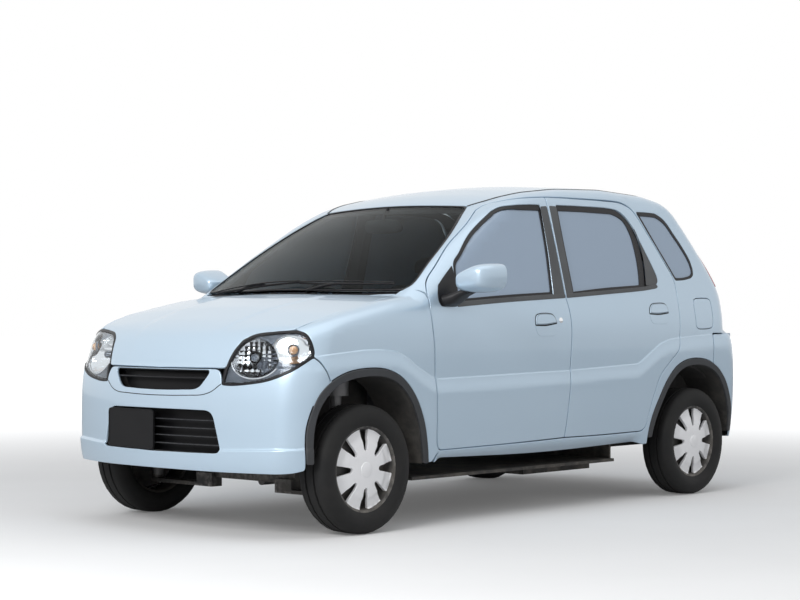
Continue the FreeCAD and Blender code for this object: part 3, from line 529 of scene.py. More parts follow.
newFinish("liningGrey", "dark_plastic", (0.34, 0.345, 0.35), (0.28, 0.285, 0.29), rough=0.85,
          grain=600.0, bump=0.3)
newFinish("plateBlack", "black_plastic", (0.006, 0.006, 0.007), (0.010, 0.010, 0.011), rough=0.4,
          grain=500.0, bump=0.05, Specular_IOR_Level=0.15)


def newGlass(name, slot, colour, rough=0.02, **sockets):
    made = bpy.data.materials.new(name)
    made.use_nodes = True
    tree = made.node_tree
    shader = tree.nodes["Principled BSDF"]
    film = useGroup(tree, "dust", Top=1.6, Amount=0.06)["Mask"]
    tint = tuple(colour) + (1,)
    tree.links.new(blendColour(tree, film, tint, tuple(min(1.0, c * 1.15) for c in colour) + (1,)),
                   shader.inputs["Base Color"])
    tree.links.new(mathNode(tree, "MULTIPLY_ADD", film, 0.25, rough), shader.inputs["Roughness"])
    for key, value in sockets.items():
        shader.inputs[key.replace("_", " ")].default_value = value
    finishes[name] = (made, slot)


# side and tailgate glass: the real blue tint, lightened to a mostly opaque pale blue-grey as a painted
# reflection of the pale sky
newGlass("sideGlass", "glass", (0.37, 0.47, 0.60), rough=0.05, Transmission_Weight=0.15, IOR=1.45)
newGlass("screenGlass", "glass", (0.30, 0.35, 0.36), Transmission_Weight=1.0, IOR=1.1)
newGlass("lampLens", "lamp_lens", (0.90, 0.93, 0.95), rough=0.01, Transmission_Weight=1.0, IOR=1.2)
newGlass("redLens", "red_lens", (0.62, 0.015, 0.02), rough=0.06, Transmission_Weight=0.35, IOR=1.45,
         Coat_Weight=0.6)
newGlass("mirrorGlass", "glass", (0.8, 0.82, 0.84), rough=0.01, Metallic=1.0)


# Pieces
pieceCount = {"made": 0}
flip = np.array([1.0, -1.0, 1.0])  # from the left side to the right


def newPiece(name, points, faces, body, finish, faceFinish=None, normals=None, sharp=38, centre=None):
    names = [finish] if isinstance(finish, str) else list(finish)
    mesh = bpy.data.meshes.new(name)
    mesh.from_pydata((np.asarray(points, float) / 1000).tolist(), [],
                     [tuple(int(i) for i in f) for f in faces])
    for item in names:
        mesh.materials.append(finishes[item][0])
    if faceFinish is not None:
        mesh.polygons.foreach_set("material_index", np.asarray(faceFinish, dtype=np.int32))
    mesh.update()
    mesh.shade_smooth()
    mesh.set_sharp_from_angle(angle=math.radians(sharp))
    if normals is not None:
        mesh.normals_split_custom_set_from_vertices(np.asarray(normals, float).tolist())
    piece = bpy.data.objects.new(name, mesh)
    bpy.context.scene.collection.objects.link(piece)
    if centre is not None:
        piece.location = [float(v) / 1000 for v in centre]
    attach(piece, body)
    pieceCount["made"] += 1
    return piece


def mirrored(points, faces, normals=None):
    # the same mesh on the other side, with its faces turned back outwards
    return (np.asarray(points) * flip, [tuple(f[::-1]) for f in faces],
            None if normals is None else normals * flip)


def newPair(name, points, faces, body, finish, faceFinish=None, normals=None, sharp=38):
    # a left piece and its mirror on the right; body may hold %s for the side
    made = []
    for side in ("left", "right"):
        there = body % side if "%s" in body else body
        shape = (points, faces, normals) if side == "left" else mirrored(points, faces, normals)
        made.append(newPiece(name + side.capitalize(), shape[0], shape[1], there, finish, faceFinish,
                             shape[2], sharp))
    return made


def panelMesh(loop, view, holes=(), depth=0.0, sink=0.0, gap=2.5, grid=20.0, edge=9.0, lip=1.8,
              spacing=7.0, stepRows=False, rows=(), field=bodyField):
    # a sheet of skin inside a loop: even net, rolled edges, and a back face where depth is given
    bounds = ([(evenLoop(view.flat(loop), spacing), 1.0)]
              + [(evenLoop(view.flat(h), spacing), -1.0) for h in holes])
    rims = [[drawIn(b, s * (gap + d)) for d in (lip * 1.2, lip * 0.35, 0.0)] for b, s in bounds]
    fence = [drawIn(r[0], s * grid * 0.45) for r, (_, s) in zip(rims, bounds)]

    def clear(q):
        good = within(fence[0], q)
        for f in fence[1:]:
            good &= ~within(f, q)
        return q[good]

    def put(q):
        origin, ray = view.rays(q)
        p = castOnto(origin, ray, view.near, view.far, field)
        return p, normalAt(p, field)

    low, high = bounds[0][0].min(0), bounds[0][0].max(0)
    us, vs = (np.arange(low[0] + grid / 2, high[0], grid),
              np.arange(low[1] + grid / 2, high[1], grid * 0.87))
    net = np.array([(u + (grid / 2 if k % 2 else 0), v) for k, v in enumerate(vs) for u in us])
    net = clear(net)
    if stepRows and len(net):
        p, _ = put(net)
        below = stepLine(p[:, 0]) - p[:, 2]
        net = net[(below < -9) | (below > 20)]
        line = np.arange(-1720, 1720, 12.0)
        rows = [onSide(np.column_stack([line, stepLine(line) + d]).tolist())
                for d in (5.0, 1.2, 0.0, -1.2, -2.5, -3.8, -5.2, -7.5, -12.0)]
        net = np.vstack([net, clear(view.flat(np.vstack(rows)))])
    if len(rows):
        net = np.vstack([net, clear(view.flat(np.vstack(rows)))])
    flats, edges, start = [], [], 0
    for r in rims:
        n = len(r[0])
        flats.append(r[0])
        edges += [(start + i, start + (i + 1) % n) for i in range(n)]
        start += n
    every = np.vstack(flats + [net])
    verts, _, tris, origin, _, _ = delaunay_2d_cdt([Vector(q) for q in every], edges, [], 0, 1e-5)
    flat = np.array([tuple(v) for v in verts])
    tris = np.array([t for t in tris if len(t) == 3])
    middle = flat[tris].mean(1)
    good = within(rims[0][0], middle)
    for r in rims[1:]:
        good &= ~within(r[0], middle)
    tris = tris[good]
    newIndex = {}
    for i, given in enumerate(origin):
        for g in given:
            newIndex[g] = i
    skin, normal = put(flat)
    skin = skin - normal * sink
    a, b, c = (skin[tris[:, k]] for k in range(3))
    turned = np.einsum("ij,ij->i", np.cross(b - a, c - a), normal[tris[:, 0]]) < 0
    tris[turned] = tris[turned][:, ::-1]
    points, normals, faces, back = [skin], [normal], [tuple(t) for t in tris], []
    count, start = len(skin), 0
    for r in rims:
        n = len(r[0])
        ring = np.array([newIndex[start + i] for i in range(n)])
        start += n
        drops = [(r[1], lip * 0.3), (r[2], lip), (r[2], max(edge, lip + 1))]
        rings = [ring]
        for q, drop in drops:
            p, m = put(q)
            points.append(p - m * (sink + drop))
            normals.append(np.zeros_like(p))
            rings.append(np.arange(count, count + n))
            count += n
        stack = np.vstack(points)
        i, j = rings[0][0], rings[0][1]
        k = rings[1][0]
        outwards = np.dot(np.cross(stack[j] - stack[i], stack[k] - stack[i]), normal[ring[0]]) > 0
        for k, (inner, outer) in enumerate(zip(rings[:-1], rings[1:])):
            for i in range(n):
                j = (i + 1) % n
                quad = (inner[i], inner[j], outer[j], outer[i])
                faces.append(quad if outwards else quad[::-1])
        back.append((ring, rings[-1], n, outwards))
    faceFinish = [0] * len(faces)
    if depth:
        points.append(skin - normal * depth)
        normals.append(-normal)
        offset = count
        for t in tris:
            faces.append((t[2] + offset, t[1] + offset, t[0] + offset))
            faceFinish.append(1)
        for ring, last, n, outwards in back:
            for i in range(n):
                j = (i + 1) % n
                quad = (last[i], last[j], ring[j] + offset, ring[i] + offset)
                faces.append(quad if outwards else quad[::-1])
                faceFinish.append(1)
    return np.vstack(points), faces, faceFinish, np.vstack(normals)


def mirroredLoop(half):
    return np.vstack([half, (half * flip)[::-1]])


def acrossLoop(*lines):
    # a loop that crosses the centre plane, from the lines of its left half
    return mirroredLoop(np.vstack([dense(onSide(line)) for line in lines]))


def fromBehind(ys, zs, near=300, far=1500):
    # places on the tail, reached by rays that come from behind
    start = np.column_stack([np.full(len(ys), -2200.0), ys, np.broadcast_to(zs, len(ys))])
    return castOnto(start, np.tile((1.0, 0.0, 0.0), (len(start), 1)), near, far)


# Seam lines of the left side, as side-view places (x, z) or full places (x, y, z)
seams = {
    "frontDoorLead": [(722, 318), (741, 330), (748, 352), (757, 482), (764, 625), (768, 765),
                      (775, 831), (780, 900), (778, 960)],
    "frontDoorScreen": [(778, 960), (774, 990), (748, 1036), (660, 1106), (535, 1198), (378, 1296),
                        (262, 1363)],
    "frontDoorTop": [(262, 1363), (205, 1388), (130, 1408), (40, 1423), (-60, 1433), (-157, 1439)],
    "betweenDoors": [(-157, 1439), (-161, 1208), (-163, 1060), (-163, 974), (-172, 930), (-180, 846),
                     (-163, 635), (-142, 448), (-127, 331)],
    "frontDoorFoot": [(-127, 331), (200, 324), (722, 318)],
    "rearDoorTop": [(-157, 1439), (-350, 1442), (-594, 1443), (-740, 1438), (-800, 1422)],
    "rearDoorTail": [(-800, 1422), (-838, 1398), (-928, 1280), (-1000, 1175), (-1062, 1080),
                     (-1071, 1040), (-1069, 938), (-1054, 783), (-1033, 724), (-957, 665),
                     (-873, 596), (-820, 500), (-792, 430), (-772, 372), (-755, 345), (-722, 333)],
    "rearDoorFoot": [(-722, 333), (-400, 330), (-127, 331)],
}
windows = {
    "front": [[(598, 946), (574, 1112), (520, 1160), (409, 1250), (228, 1357)],
              [(228, 1357), (170, 1378), (80, 1389), (-40, 1394), (-104, 1395)],
              [(-104, 1395), (-96, 1206), (-72, 984)], [(-72, 984), (260, 968), (598, 946)]],
    "rear": [[(-222, 986), (-219, 1209), (-222, 1399)],
             [(-222, 1399), (-420, 1402), (-640, 1401), (-710, 1392), (-765, 1362), (-806, 1318)],
             [(-806, 1318), (-840, 1250), (-884, 1165), (-922, 1084), (-925, 1060), (-905, 1040)],
             [(-905, 1040), (-800, 1027), (-500, 1008), (-222, 986)]],
    "quarter": [[(-860, 1394), (-940, 1395), (-1020, 1393)],
                [(-1020, 1393), (-1068, 1375), (-1107, 1347), (-1150, 1295), (-1195, 1242),
                 (-1243, 1171), (-1257, 1125)],
                [(-1257, 1125), (-1252, 1095), (-1225, 1078)],
                [(-1225, 1078), (-1160, 1068), (-1084, 1064)],
                [(-1084, 1064), (-998, 1190), (-928, 1294), (-860, 1394)]],
}
arches = {
    "frontOuter": [(1500, 300), (1502, 370), (1501, 442), (1480, 520), (1451, 577), (1392, 625),
                   (1295, 662), (1164, 675), (1063, 666), (973, 629), (897, 557), (840, 454),
                   (809, 351), (792, 268)],
    "frontInner": [(826, 268), (843, 351), (870, 440), (922, 535), (990, 600), (1068, 633), (1164, 642),
                   (1282, 630), (1370, 598), (1424, 552), (1452, 505), (1468, 442), (1470, 370),
                   (1468, 300)],
    "rearOuter": [(-790, 300), (-799, 352), (-824, 420), (-868, 490), (-925, 568), (-1007, 638),
                  (-1093, 669), (-1190, 677), (-1290, 665), (-1385, 625), (-1455, 560), (-1500, 480),
                  (-1525, 400), (-1533, 300)],
    "rearInner": [(-1500, 300), (-1492, 392), (-1468, 464), (-1428, 536), (-1368, 597), (-1284, 633),
                  (-1190, 644), (-1100, 637), (-1026, 608), (-952, 548), (-897, 474), (-857, 408),
                  (-832, 346), (-822, 300)],
}
bonnetSide = [(1604, 386, 746), (1573, 406, 790), (1545, 450, 815), (1511, 530, 828), (1477, 606, 836),
              (1420, 624, 858), (1347, 634, 884), (1197, 637, 922), (1080, 630, 944), (979, 614, 961),
              (880, 604, 984)]
lampEdge = {
    "inner": [(1650, 364, 613), (1633, 371, 682), (1604, 386, 746), (1573, 406, 790)],
    "top": [(1573, 406, 790), (1545, 450, 813), (1511, 530, 824), (1477, 618, 829)],
    "rear": [(1477, 618, 829), (1467, 662, 816), (1460, 684, 780), (1457, 695, 739), (1463, 698, 724)],
    "foot": [(1463, 698, 724), (1500, 684, 700), (1537, 660, 674), (1570, 612, 648), (1594, 563, 630),
             (1626, 464, 615), (1640, 410, 611), (1650, 364, 613)],
}


def seamLoop(*names):
    return loopOf(*(seams[k] for k in names))


def skinPair(name, loop, body, finish="paint", view=flank, **more):
    points, faces, faceFinish, normals = panelMesh(loop, view, **more)
    return newPair(name, points, faces, body, finish, faceFinish, normals)


def skinWhole(name, loop, body, view, finish="paint", **more):
    points, faces, faceFinish, normals = panelMesh(loop, view, **more)
    return newPiece(name, points, faces, body, finish, faceFinish, normals)


def standsFor(pieces, *nodes):
    for piece, side in zip(pieces, ("left", "right")):
        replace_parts(piece, *(n % side if "%s" in n else n for n in nodes))


print("skin: doors")
doorSkin = {"depth": 40.0, "stepRows": True, "grid": 22.0, "edge": 24.0}
frontDoorLoop = seamLoop("frontDoorLead", "frontDoorScreen", "frontDoorTop", "betweenDoors",
                         "frontDoorFoot")
frontDoor = skinPair("frontDoor", frontDoorLoop, "front_door_%s", ("paint", "dashGrey"),
                     holes=[loopOf(*windows["front"])], **doorSkin)
standsFor(frontDoor, "front_door_%s")
rearDoor = skinPair("rearDoor", loopOf(seams["betweenDoors"][::-1], seams["rearDoorTop"],
                                       seams["rearDoorTail"], seams["rearDoorFoot"]),
                    "rear_door_%s", ("paint", "dashGrey"), holes=[loopOf(*windows["rear"])], **doorSkin)
standsFor(rearDoor, "rear_door_%s")

print("skin: body side, roof and wings")
frameEdge = {
    "screen": [(868, 606, 992), (812, 624, 1019), (665, 594, 1120), (476, 546, 1243), (295, 471, 1355),
               (235, 442, 1386)],
    "rail": [(235, 442, 1386), (150, 480, 1412), (0, 498, 1450), (-300, 505, 1480), (-700, 505, 1488),
             (-1000, 500, 1470), (-1166, 492, 1440)],
    "tail": [(-1166, 492, 1440), (-1290, 520, 1370), (-1380, 553, 1290), (-1470, 584, 1180),
             (-1560, 606, 1040), (-1592, 612, 960), (-1597, 604, 880), (-1602, 590, 800)],
    "bumper": [(-1602, 590, 799), (-1590, 640, 799), (-1540, 700, 799), (-1347, 799)],
    "bumperFront": [(-1347, 799), (-1345, 740), (-1341, 658)],
    "arch": [(-1341, 646)] + arches["rearOuter"][8:0:-1] + [(-790, 300), (-788, 268)],
    "sill": [(-788, 268), (0, 268), (760, 268)],
    "lead": [(760, 268), (735, 300), (741, 330), (748, 352), (757, 482), (764, 625), (768, 765),
             (775, 831), (780, 900), (778, 960), (786, 984), (868, 606, 992)],
}
doorHole = seamLoop("frontDoorLead", "frontDoorScreen", "frontDoorTop", "rearDoorTop", "rearDoorTail",
                    "rearDoorFoot", "frontDoorFoot")
fuelLid = [(-1206, 836), (-1206, 955), (-1211, 968), (-1225, 973), (-1340, 975), (-1358, 968),
           (-1363, 950), (-1360, 850), (-1352, 832), (-1335, 826), (-1220, 825), (-1206, 836)]
sideHoles = [doorHole, loopOf(*windows["quarter"])]
sideSkin = {"depth": 42.0, "stepRows": True, "grid": 22.0, "edge": 16.0, "gap": 1.5}
leftSide = panelMesh(loopOf(*frameEdge.values()), flank, holes=sideHoles + [loopOf(fuelLid)],
                     **sideSkin)
rightSide = panelMesh(loopOf(*frameEdge.values()), flank, holes=sideHoles, **sideSkin)
bodySide = []
for side, (points, faces, faceFinish, normals) in (("Left", leftSide), ("Right", rightSide)):
    if side == "Right":
        points, faces, normals = mirrored(points, faces, normals)
    bodySide.append(newPiece("bodySide" + side, points, faces, "chassis", ("paint", "liningGrey"),
                             faceFinish, normals))
standsFor(bodySide, "body_side_%s")
roofEdge = [frameEdge["rail"][::-1],
            [(235, 442, 1386), (253, 300, 1398), (262, 150, 1404), (264, 0, 1406)]]
roof = skinWhole("roof", acrossLoop([(-1166, 0, 1489), (-1166, 250, 1480), (-1166, 492, 1440)],
                                    *roofEdge),
                 "chassis", roofView, ("paint", "liningGrey"), depth=28.0, grid=30.0, gap=3.0)
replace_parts(roof, "roof")
wingLoop = loopOf(
    seams["frontDoorLead"][::-1], [(722, 318), (745, 300), (775, 268), (792, 268)],
    arches["frontOuter"][::-1][:11], [(1392, 625), (1410, 660), (1440, 705), (1463, 698, 724)],
    lampEdge["rear"][::-1], [(1477, 606, 836)] + bonnetSide[5:],
    [(880, 604, 984), (868, 606, 993), (830, 636, 1002), (786, 984)],
    [(786, 984), (782, 972), (778, 960)])
wing = skinPair("wing", wingLoop, "chassis", ("paint", "blackTrim"), depth=14.0, stepRows=True,
                grid=20.0)
standsFor(wing, "front_wing_%s")

print("skin: bonnet, bumpers and tailgate")
bonnetLoop = acrossLoop([(1006, 0, 985), (985, 250, 981), (940, 430, 978), (880, 598, 978)],
                        bonnetSide[::-1],
                        [(1604, 386, 746), (1633, 371, 690), (1640, 350, 679)],
                        [(1640, 350, 679), (1660, 200, 677), (1675, 0, 676)])
bonnet = skinWhole("bonnet", bonnetLoop, "bonnet", bonnetView, ("paint", "blackTrim"), depth=14.0,
                   grid=24.0)
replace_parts(bonnet, "bonnet")
grilleEdge = [(1675, 0, 676), (1649, 296, 676), (1655, 292, 660), (1663, 275, 634), (1673, 242, 600),
              (1682, 150, 591), (1690, 0, 588)]
mouthEdge = [[(1690, 0, 507), (1682, 150, 507), (1672, 285, 506)],
             [(1672, 285, 506), (1668, 312, 498), (1665, 326, 476)],
             [(1665, 326, 476), (1663, 345, 410), (1661, 361, 350)],
             [(1661, 361, 350), (1663, 352, 341), (1666, 335, 339)],
             [(1666, 335, 339), (1690, 150, 338), (1697, 0, 338)]]
bumperEdge = {
    "top": [(1675, 0, 676.5), (1650, 300, 676.5)],
    "surround": [(1650, 300, 676.5), (1645, 340, 672), (1650, 362, 640), (1650, 364, 612)],
    "lamp": lampEdge["foot"][::-1],
    "wing": [(1463, 698, 724), (1440, 705), (1410, 660), (1392, 625)],
    "arch": arches["frontOuter"][5:0:-1][:1] + arches["frontOuter"][4::-1] + [(1500, 275)],
    "lip": [(1500, 275), (1544, 654, 264), (1632, 450, 260), (1688, 88, 262), (1690, 0, 262)],
}
grilleTop = (1655, 292, 668)
grilleLoop = mirroredLoop(np.vstack([[grilleTop], dense(grilleEdge[1:])[1:]]))
mouthLoop = acrossLoop(*mouthEdge)
ledgeAcross = np.arange(346, 700, 12.0)
ledgeRows = [np.column_stack([1690 - y * y / 3600, y, z + (np.abs(y) - 366) * 0.035])
             for y in (ledgeAcross, -ledgeAcross)
             for z in (343.0, 346.0, 348.5, 351.0, 353.5, 356.0, 361.0)]
frontBumper = skinWhole("frontBumper", acrossLoop(*bumperEdge.values()), "chassis", noseView,
                        ("paint", "blackTrim"), depth=14.0, grid=20.0, rows=ledgeRows,
                        holes=[grilleLoop, mouthLoop])
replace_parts(frontBumper, "front_bumper")
rearEdge = {
    "top": [(-1668, 0, 798), (-1650, 300, 798), (-1600, 600, 798), (-1540, 700, 798), (-1347, 798)],
    "front": [(-1347, 798), (-1345, 740), (-1341, 658)],
    "arch": [(-1341, 646)] + arches["rearOuter"][9:] + [(-1530, 270)],
    "foot": [(-1530, 270), (-1600, 600, 262), (-1660, 300, 262), (-1682, 0, 262)],
}
rearBumper = skinWhole("rearBumper", acrossLoop(*rearEdge.values()), "chassis", tailDrum,
                       ("paint", "blackTrim"), depth=14.0, grid=22.0)
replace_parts(rearBumper, "rear_bumper")
gateWindow = [(-1340, 0, 1352), (-1338, 300, 1350), (-1330, 430, 1346), (-1345, 462, 1325),
              (-1470, 520, 1130), (-1478, 520, 1095), (-1500, 480, 1082), (-1540, 0, 1082)]
gateLoop = acrossLoop(
    [(-1168, 0, 1489), (-1168, 300, 1478), (-1172, 484, 1440)],
    [(-1172, 484, 1440), (-1290, 512, 1370), (-1380, 545, 1290), (-1470, 576, 1180), (-1560, 598, 1040),
     (-1592, 604, 960), (-1597, 596, 880), (-1602, 560, 803)],
    [(-1602, 560, 803), (-1606, 300, 803), (-1608, 0, 803)])
gateHole = acrossLoop(gateWindow)
tailgate = skinWhole("tailgate", gateLoop, "tailgate", gateView, ("paint", "liningGrey"), depth=38.0,
                     grid=24.0, holes=[gateHole], gap=3.0)
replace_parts(tailgate, "tailgate")

print("glass and window trim")


def offSkin(loop, view, grow):
    # the same loop, grown along the skin by so many millimetres
    flat = drawIn(evenLoop(view.flat(loop), 7, 2), -grow)
    origin, ray = view.rays(flat)
    return castOnto(origin, ray, view.near, view.far)


def glassPair(name, loop, body, node, run, deep=8.0, wide=13.0):
    pane = skinPair(name + "Pane", offSkin(loop, flank, 5.0), body, "sideGlass", depth=deep + 4.0,
                    sink=deep, gap=0.0, edge=2.8, grid=40.0)
    skinPair(name + "Run", offSkin(loop, flank, 4.0), body, run, holes=[offSkin(loop, flank, -wide)],
             sink=deep - 3.5, gap=0.0, edge=3.0, lip=1.0, grid=30.0)
    standsFor(pane, node) if "%s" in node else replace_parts(pane[0], node)
    return pane


glassTail = [(-650, 1401), (-672, 1397), (-745, 1366), (-788, 1291), (-800, 1201), (-798, 1122),
             (-781, 1024)]
sashTail = [(-815, 1028), (-833, 1122), (-835, 1201), (-824, 1280), (-806, 1318)]
rearPane = loopOf([(-222, 986), (-219, 1209), (-222, 1399)], [(-222, 1399), (-420, 1402), (-650, 1401)],
                  glassTail, [(-781, 1024), (-500, 1008), (-222, 986)])
glassPair("frontDoorGlass", loopOf(*windows["front"]), "front_door_%s", "front_door_glass_%s",
          "blackTrim")
glassPair("rearDoorGlass", rearPane, "rear_door_%s", "rear_door_glass_%s", "blackTrim")
glassPair("quarterGlass", loopOf(*windows["quarter"]), "chassis", "quarter_glass", "blackTrim",
          deep=5.0, wide=10.0)
film = {"gap": 1.5, "edge": 2.0, "lip": 0.6, "grid": 26.0}
sashes = {
    "frontSash": ([[(-100, 1392), (-96, 1206), (-74, 984)], [(-74, 984), (-158, 980)],
                   [(-158, 980), (-157, 1208), (-153, 1398)], [(-153, 1398), (-100, 1394)]],
                   "front_door_%s"),
    "rearSash": ([[(-168, 1400), (-167, 1208), (-168, 984)], [(-168, 984), (-224, 985)],
                  [(-224, 985), (-221, 1209), (-224, 1400)], [(-224, 1400), (-168, 1400)]],
                  "rear_door_%s"),
    "curvedSash": ([glassTail, [(-781, 1024), (-815, 1028)], sashTail,
                    [(-806, 1318), (-765, 1362), (-710, 1392), (-650, 1401)]], "rear_door_%s"),
    "sailRear": ([[(-817, 1032), (-835, 1122), (-837, 1201), (-826, 1280), (-808, 1316)],
                  [(-808, 1316), (-840, 1250), (-884, 1165), (-922, 1084)],
                  [(-922, 1084), (-925, 1060), (-905, 1040), (-817, 1032)]], "rear_door_%s"),
    "beltFront": ([[(606, 950), (260, 971), (-72, 988), (-159, 990)], [(-159, 990), (-159, 968)],
                   [(-159, 968), (260, 947), (606, 924)], [(606, 924), (606, 950)]], "front_door_%s"),
    "beltRear": ([[(-168, 990), (-500, 1011), (-800, 1031), (-904, 1043)],
                  [(-904, 1043), (-918, 1030), (-900, 1020)],
                  [(-900, 1020), (-800, 1009), (-500, 989), (-168, 968)], [(-168, 968), (-168, 990)]],
                  "rear_door_%s"),
    "sailFront": ([[(588, 1107), (650, 1062), (704, 1020)],
                   [(704, 1020), (722, 975), (721, 945), (708, 927)],
                   [(708, 927), (650, 925), (604, 926)], [(604, 926), (598, 960), (588, 1107)]],
                   "front_door_%s"),
}
for name, (lines, body) in sashes.items():
    look = "blackTrim" if name in ("curvedSash", "sailFront") else "sashFilm"
    proud = {"curvedSash": 5.0, "beltFront": -3.0, "beltRear": -3.0, "sailFront": -2.5}.get(name, -0.8)
    skinPair(name, loopOf(*lines), body, look, sink=proud,
             **(film if proud > -2 else dict(film, edge=8.0, lip=1.6)))

screen = acrossLoop(
    [(262, 0, 1404), (256, 250, 1401), (238, 430, 1388)],
    [(238, 430, 1388), (255, 458, 1377), (295, 471, 1355), (476, 546, 1243), (665, 597, 1120),
     (812, 627, 1019), (850, 612, 1000)],
    [(850, 612, 1000), (905, 430, 1003), (940, 250, 1005), (950, 0, 1006)])
windscreen = skinWhole("windscreen", offSkin(screen, screenView, 3.0), "chassis", screenView,
                       "screenGlass", sink=5.0, depth=10.0, gap=0.0, edge=4.5, grid=40.0)
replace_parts(windscreen, "windscreen")
skinWhole("screenRubber", offSkin(screen, screenView, 2.0), "chassis", screenView, "blackTrim",
          holes=[offSkin(screen, screenView, -9.0)], sink=1.5, gap=0.0, edge=5.0, lip=1.4, grid=30.0)
header = acrossLoop(
    [(262, 0, 1403), (256, 250, 1400), (240, 430, 1387)],
    [(240, 430, 1387), (262, 452, 1372), (290, 462, 1357)],
    [(290, 462, 1357), (322, 250, 1370), (330, 0, 1372)])
skinWhole("screenHeader", header, "chassis", screenView, "plateBlack", sink=16.0, gap=0.0, edge=2.0,
          lip=0.5, grid=40.0)
gatePane = skinWhole("tailgateGlass", offSkin(gateHole, gateView, 5.0), "tailgate", gateView,
                     "sideGlass", sink=5.0, depth=9.5, gap=0.0, edge=3.6, grid=40.0)
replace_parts(gatePane, "tailgate_glass")
skinWhole("tailgateRubber", offSkin(gateHole, gateView, 4.0), "tailgate", gateView, "blackTrim",
          holes=[offSkin(gateHole, gateView, -22.0)], sink=3.0, gap=0.0, edge=2.6, lip=1.0, grid=30.0)


def sweep(rings):
    # faces that join rings of points, with the ends closed off
    rings = np.asarray(rings, float)
    count, size = rings.shape[:2]
    faces = []
    for a in range(0, (count - 1) * size, size):
        b = a + size
        faces += [(a + i, a + (i + 1) % size, b + (i + 1) % size, b + i) for i in range(size)]
    faces += [tuple(range(size))[::-1], tuple(range((count - 1) * size, count * size))]
    points = rings.reshape(-1, 3)
    p, q, r = (points[[f[k] for f in faces[:-2]]] for k in range(3))
    if np.sum(np.cross(q - p, r - p) * (p - points.mean(0))) < 0:
        faces = [f[::-1] for f in faces]
    return points, faces


def softRing(centre, u, v, a, b, power=3.0, count=28):
    # a rounded rectangle about a centre
    t = np.arange(count) / count * 2 * math.pi
    c, s = np.cos(t), np.sin(t)
    return (np.array(centre, float) + np.outer(a * np.sign(c) * np.abs(c) ** (2 / power), u)
            + np.outer(b * np.sign(s) * np.abs(s) ** (2 / power), v))


def rodAlong(path, radius, count=10):
    # a round rod along points, its size given once or at each point
    path = np.asarray(path, float)
    radius = np.broadcast_to(radius, len(path))
    along = np.gradient(path, axis=0)
    rings = []
    for p, d, r in zip(path, along, radius):
        d = d / np.linalg.norm(d)
        u = np.cross(d, (0.0, 0.0, 1.0) if abs(d[2]) < 0.9 else (1.0, 0.0, 0.0))
        u /= np.linalg.norm(u)
        rings.append(softRing(p, u, np.cross(d, u), r, r, 2.0, count))
    return sweep(rings)


def turned(profile, centre, count, axis=(0.0, 1.0, 0.0)):
    # profile of (radius, height along the axis) turned about an axis through centre
    axis = np.array(axis, float) / np.linalg.norm(axis)
    u = np.cross(axis, (0.0, 0.0, 1.0) if abs(axis[2]) < 0.9 else (1.0, 0.0, 0.0))
    u /= np.linalg.norm(u)
    v = np.cross(axis, u)
    t = np.arange(count) / count * 2 * math.pi
    circle = np.outer(np.cos(t), u) + np.outer(np.sin(t), v)
    rings = np.array([np.array(centre, float) + circle * r + axis * h for r, h in profile])
    faces = []
    for a in range(0, (len(profile) - 1) * count, count):
        faces += [(a + i, a + count + i, a + count + (i + 1) % count, a + (i + 1) % count)
                  for i in range(count)]
    return rings.reshape(-1, 3), faces


print("arch mouldings and wheelhouse linings")
moulding = {"proud": 4.0, "lining": 500.0}
archLoops = {"front": (arches["frontOuter"], arches["frontInner"]),
             "rear": (arches["rearOuter"], arches["rearInner"])}
mouldings = []
for end, (outer, inner) in archLoops.items():
    loop = loopOf(outer, [outer[-1], inner[0]], inner, [inner[-1], outer[0]])
    mouldings += skinPair(end + "ArchMoulding", loop, "chassis", ("greyTrim", "greyTrim"),
                          sink=-moulding["proud"], depth=16.0, gap=0.5, edge=10.0, lip=3.0, grid=12.0,
                          spacing=6.0)
    edge = dense(onSide(inner))
    rims = ([edge - (0, 6, 0), edge - (0, 40, 0)]
            + [edge * (1, 0, 1) + (0, y, 0) for y in np.linspace(600, moulding["lining"], 4)])
    size = len(edge)
    faces = [(k * size + i, k * size + i + 1, (k + 1) * size + i + 1, (k + 1) * size + i)
             for k in range(len(rims) - 1) for i in range(size - 1)]
    newPair(end + "WheelLining", np.vstack(rims), faces, "chassis", "underside")
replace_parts(mouldings[0], "arch_mouldings")

print("wheels")
wheelAt = {}
for end in ("front", "rear"):
    low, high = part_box("tyre_%s_left" % end)
    wheelAt[end] = [(low[k] + high[k]) * 500 for k in range(3)]
tyreHalf = [(176, 62), (190, 74), (214, 78), (240, 74.5), (256, 65), (262.5, 52), (263.5, 28),
            (256, 26.5), (256, 19.5), (264, 18)]
tyreProfile = tyreHalf + [(r, -h) for r, h in tyreHalf[::-1]]
coverShape = {"rim": 174.0, "crown": 15.0, "slots": 8, "slotIn": 80.0, "slotOut": 161.0, "narrow": 10.0,
              "wide": 25.0, "disc": 33.0, "face": 50.0}


def coverField(x, y, z):
    # a domed cover, flatter inside the slots and falling away outside them
    r = np.hypot(x, z)
    dome = coverShape["crown"] * (1 - (r / coverShape["rim"]) ** 2)
    return (y - coverShape["face"] - dome + 4.5 * easeIn((r - 112) / 22.0)
            - 5.5 * easeIn((r - 158) / 10.0))


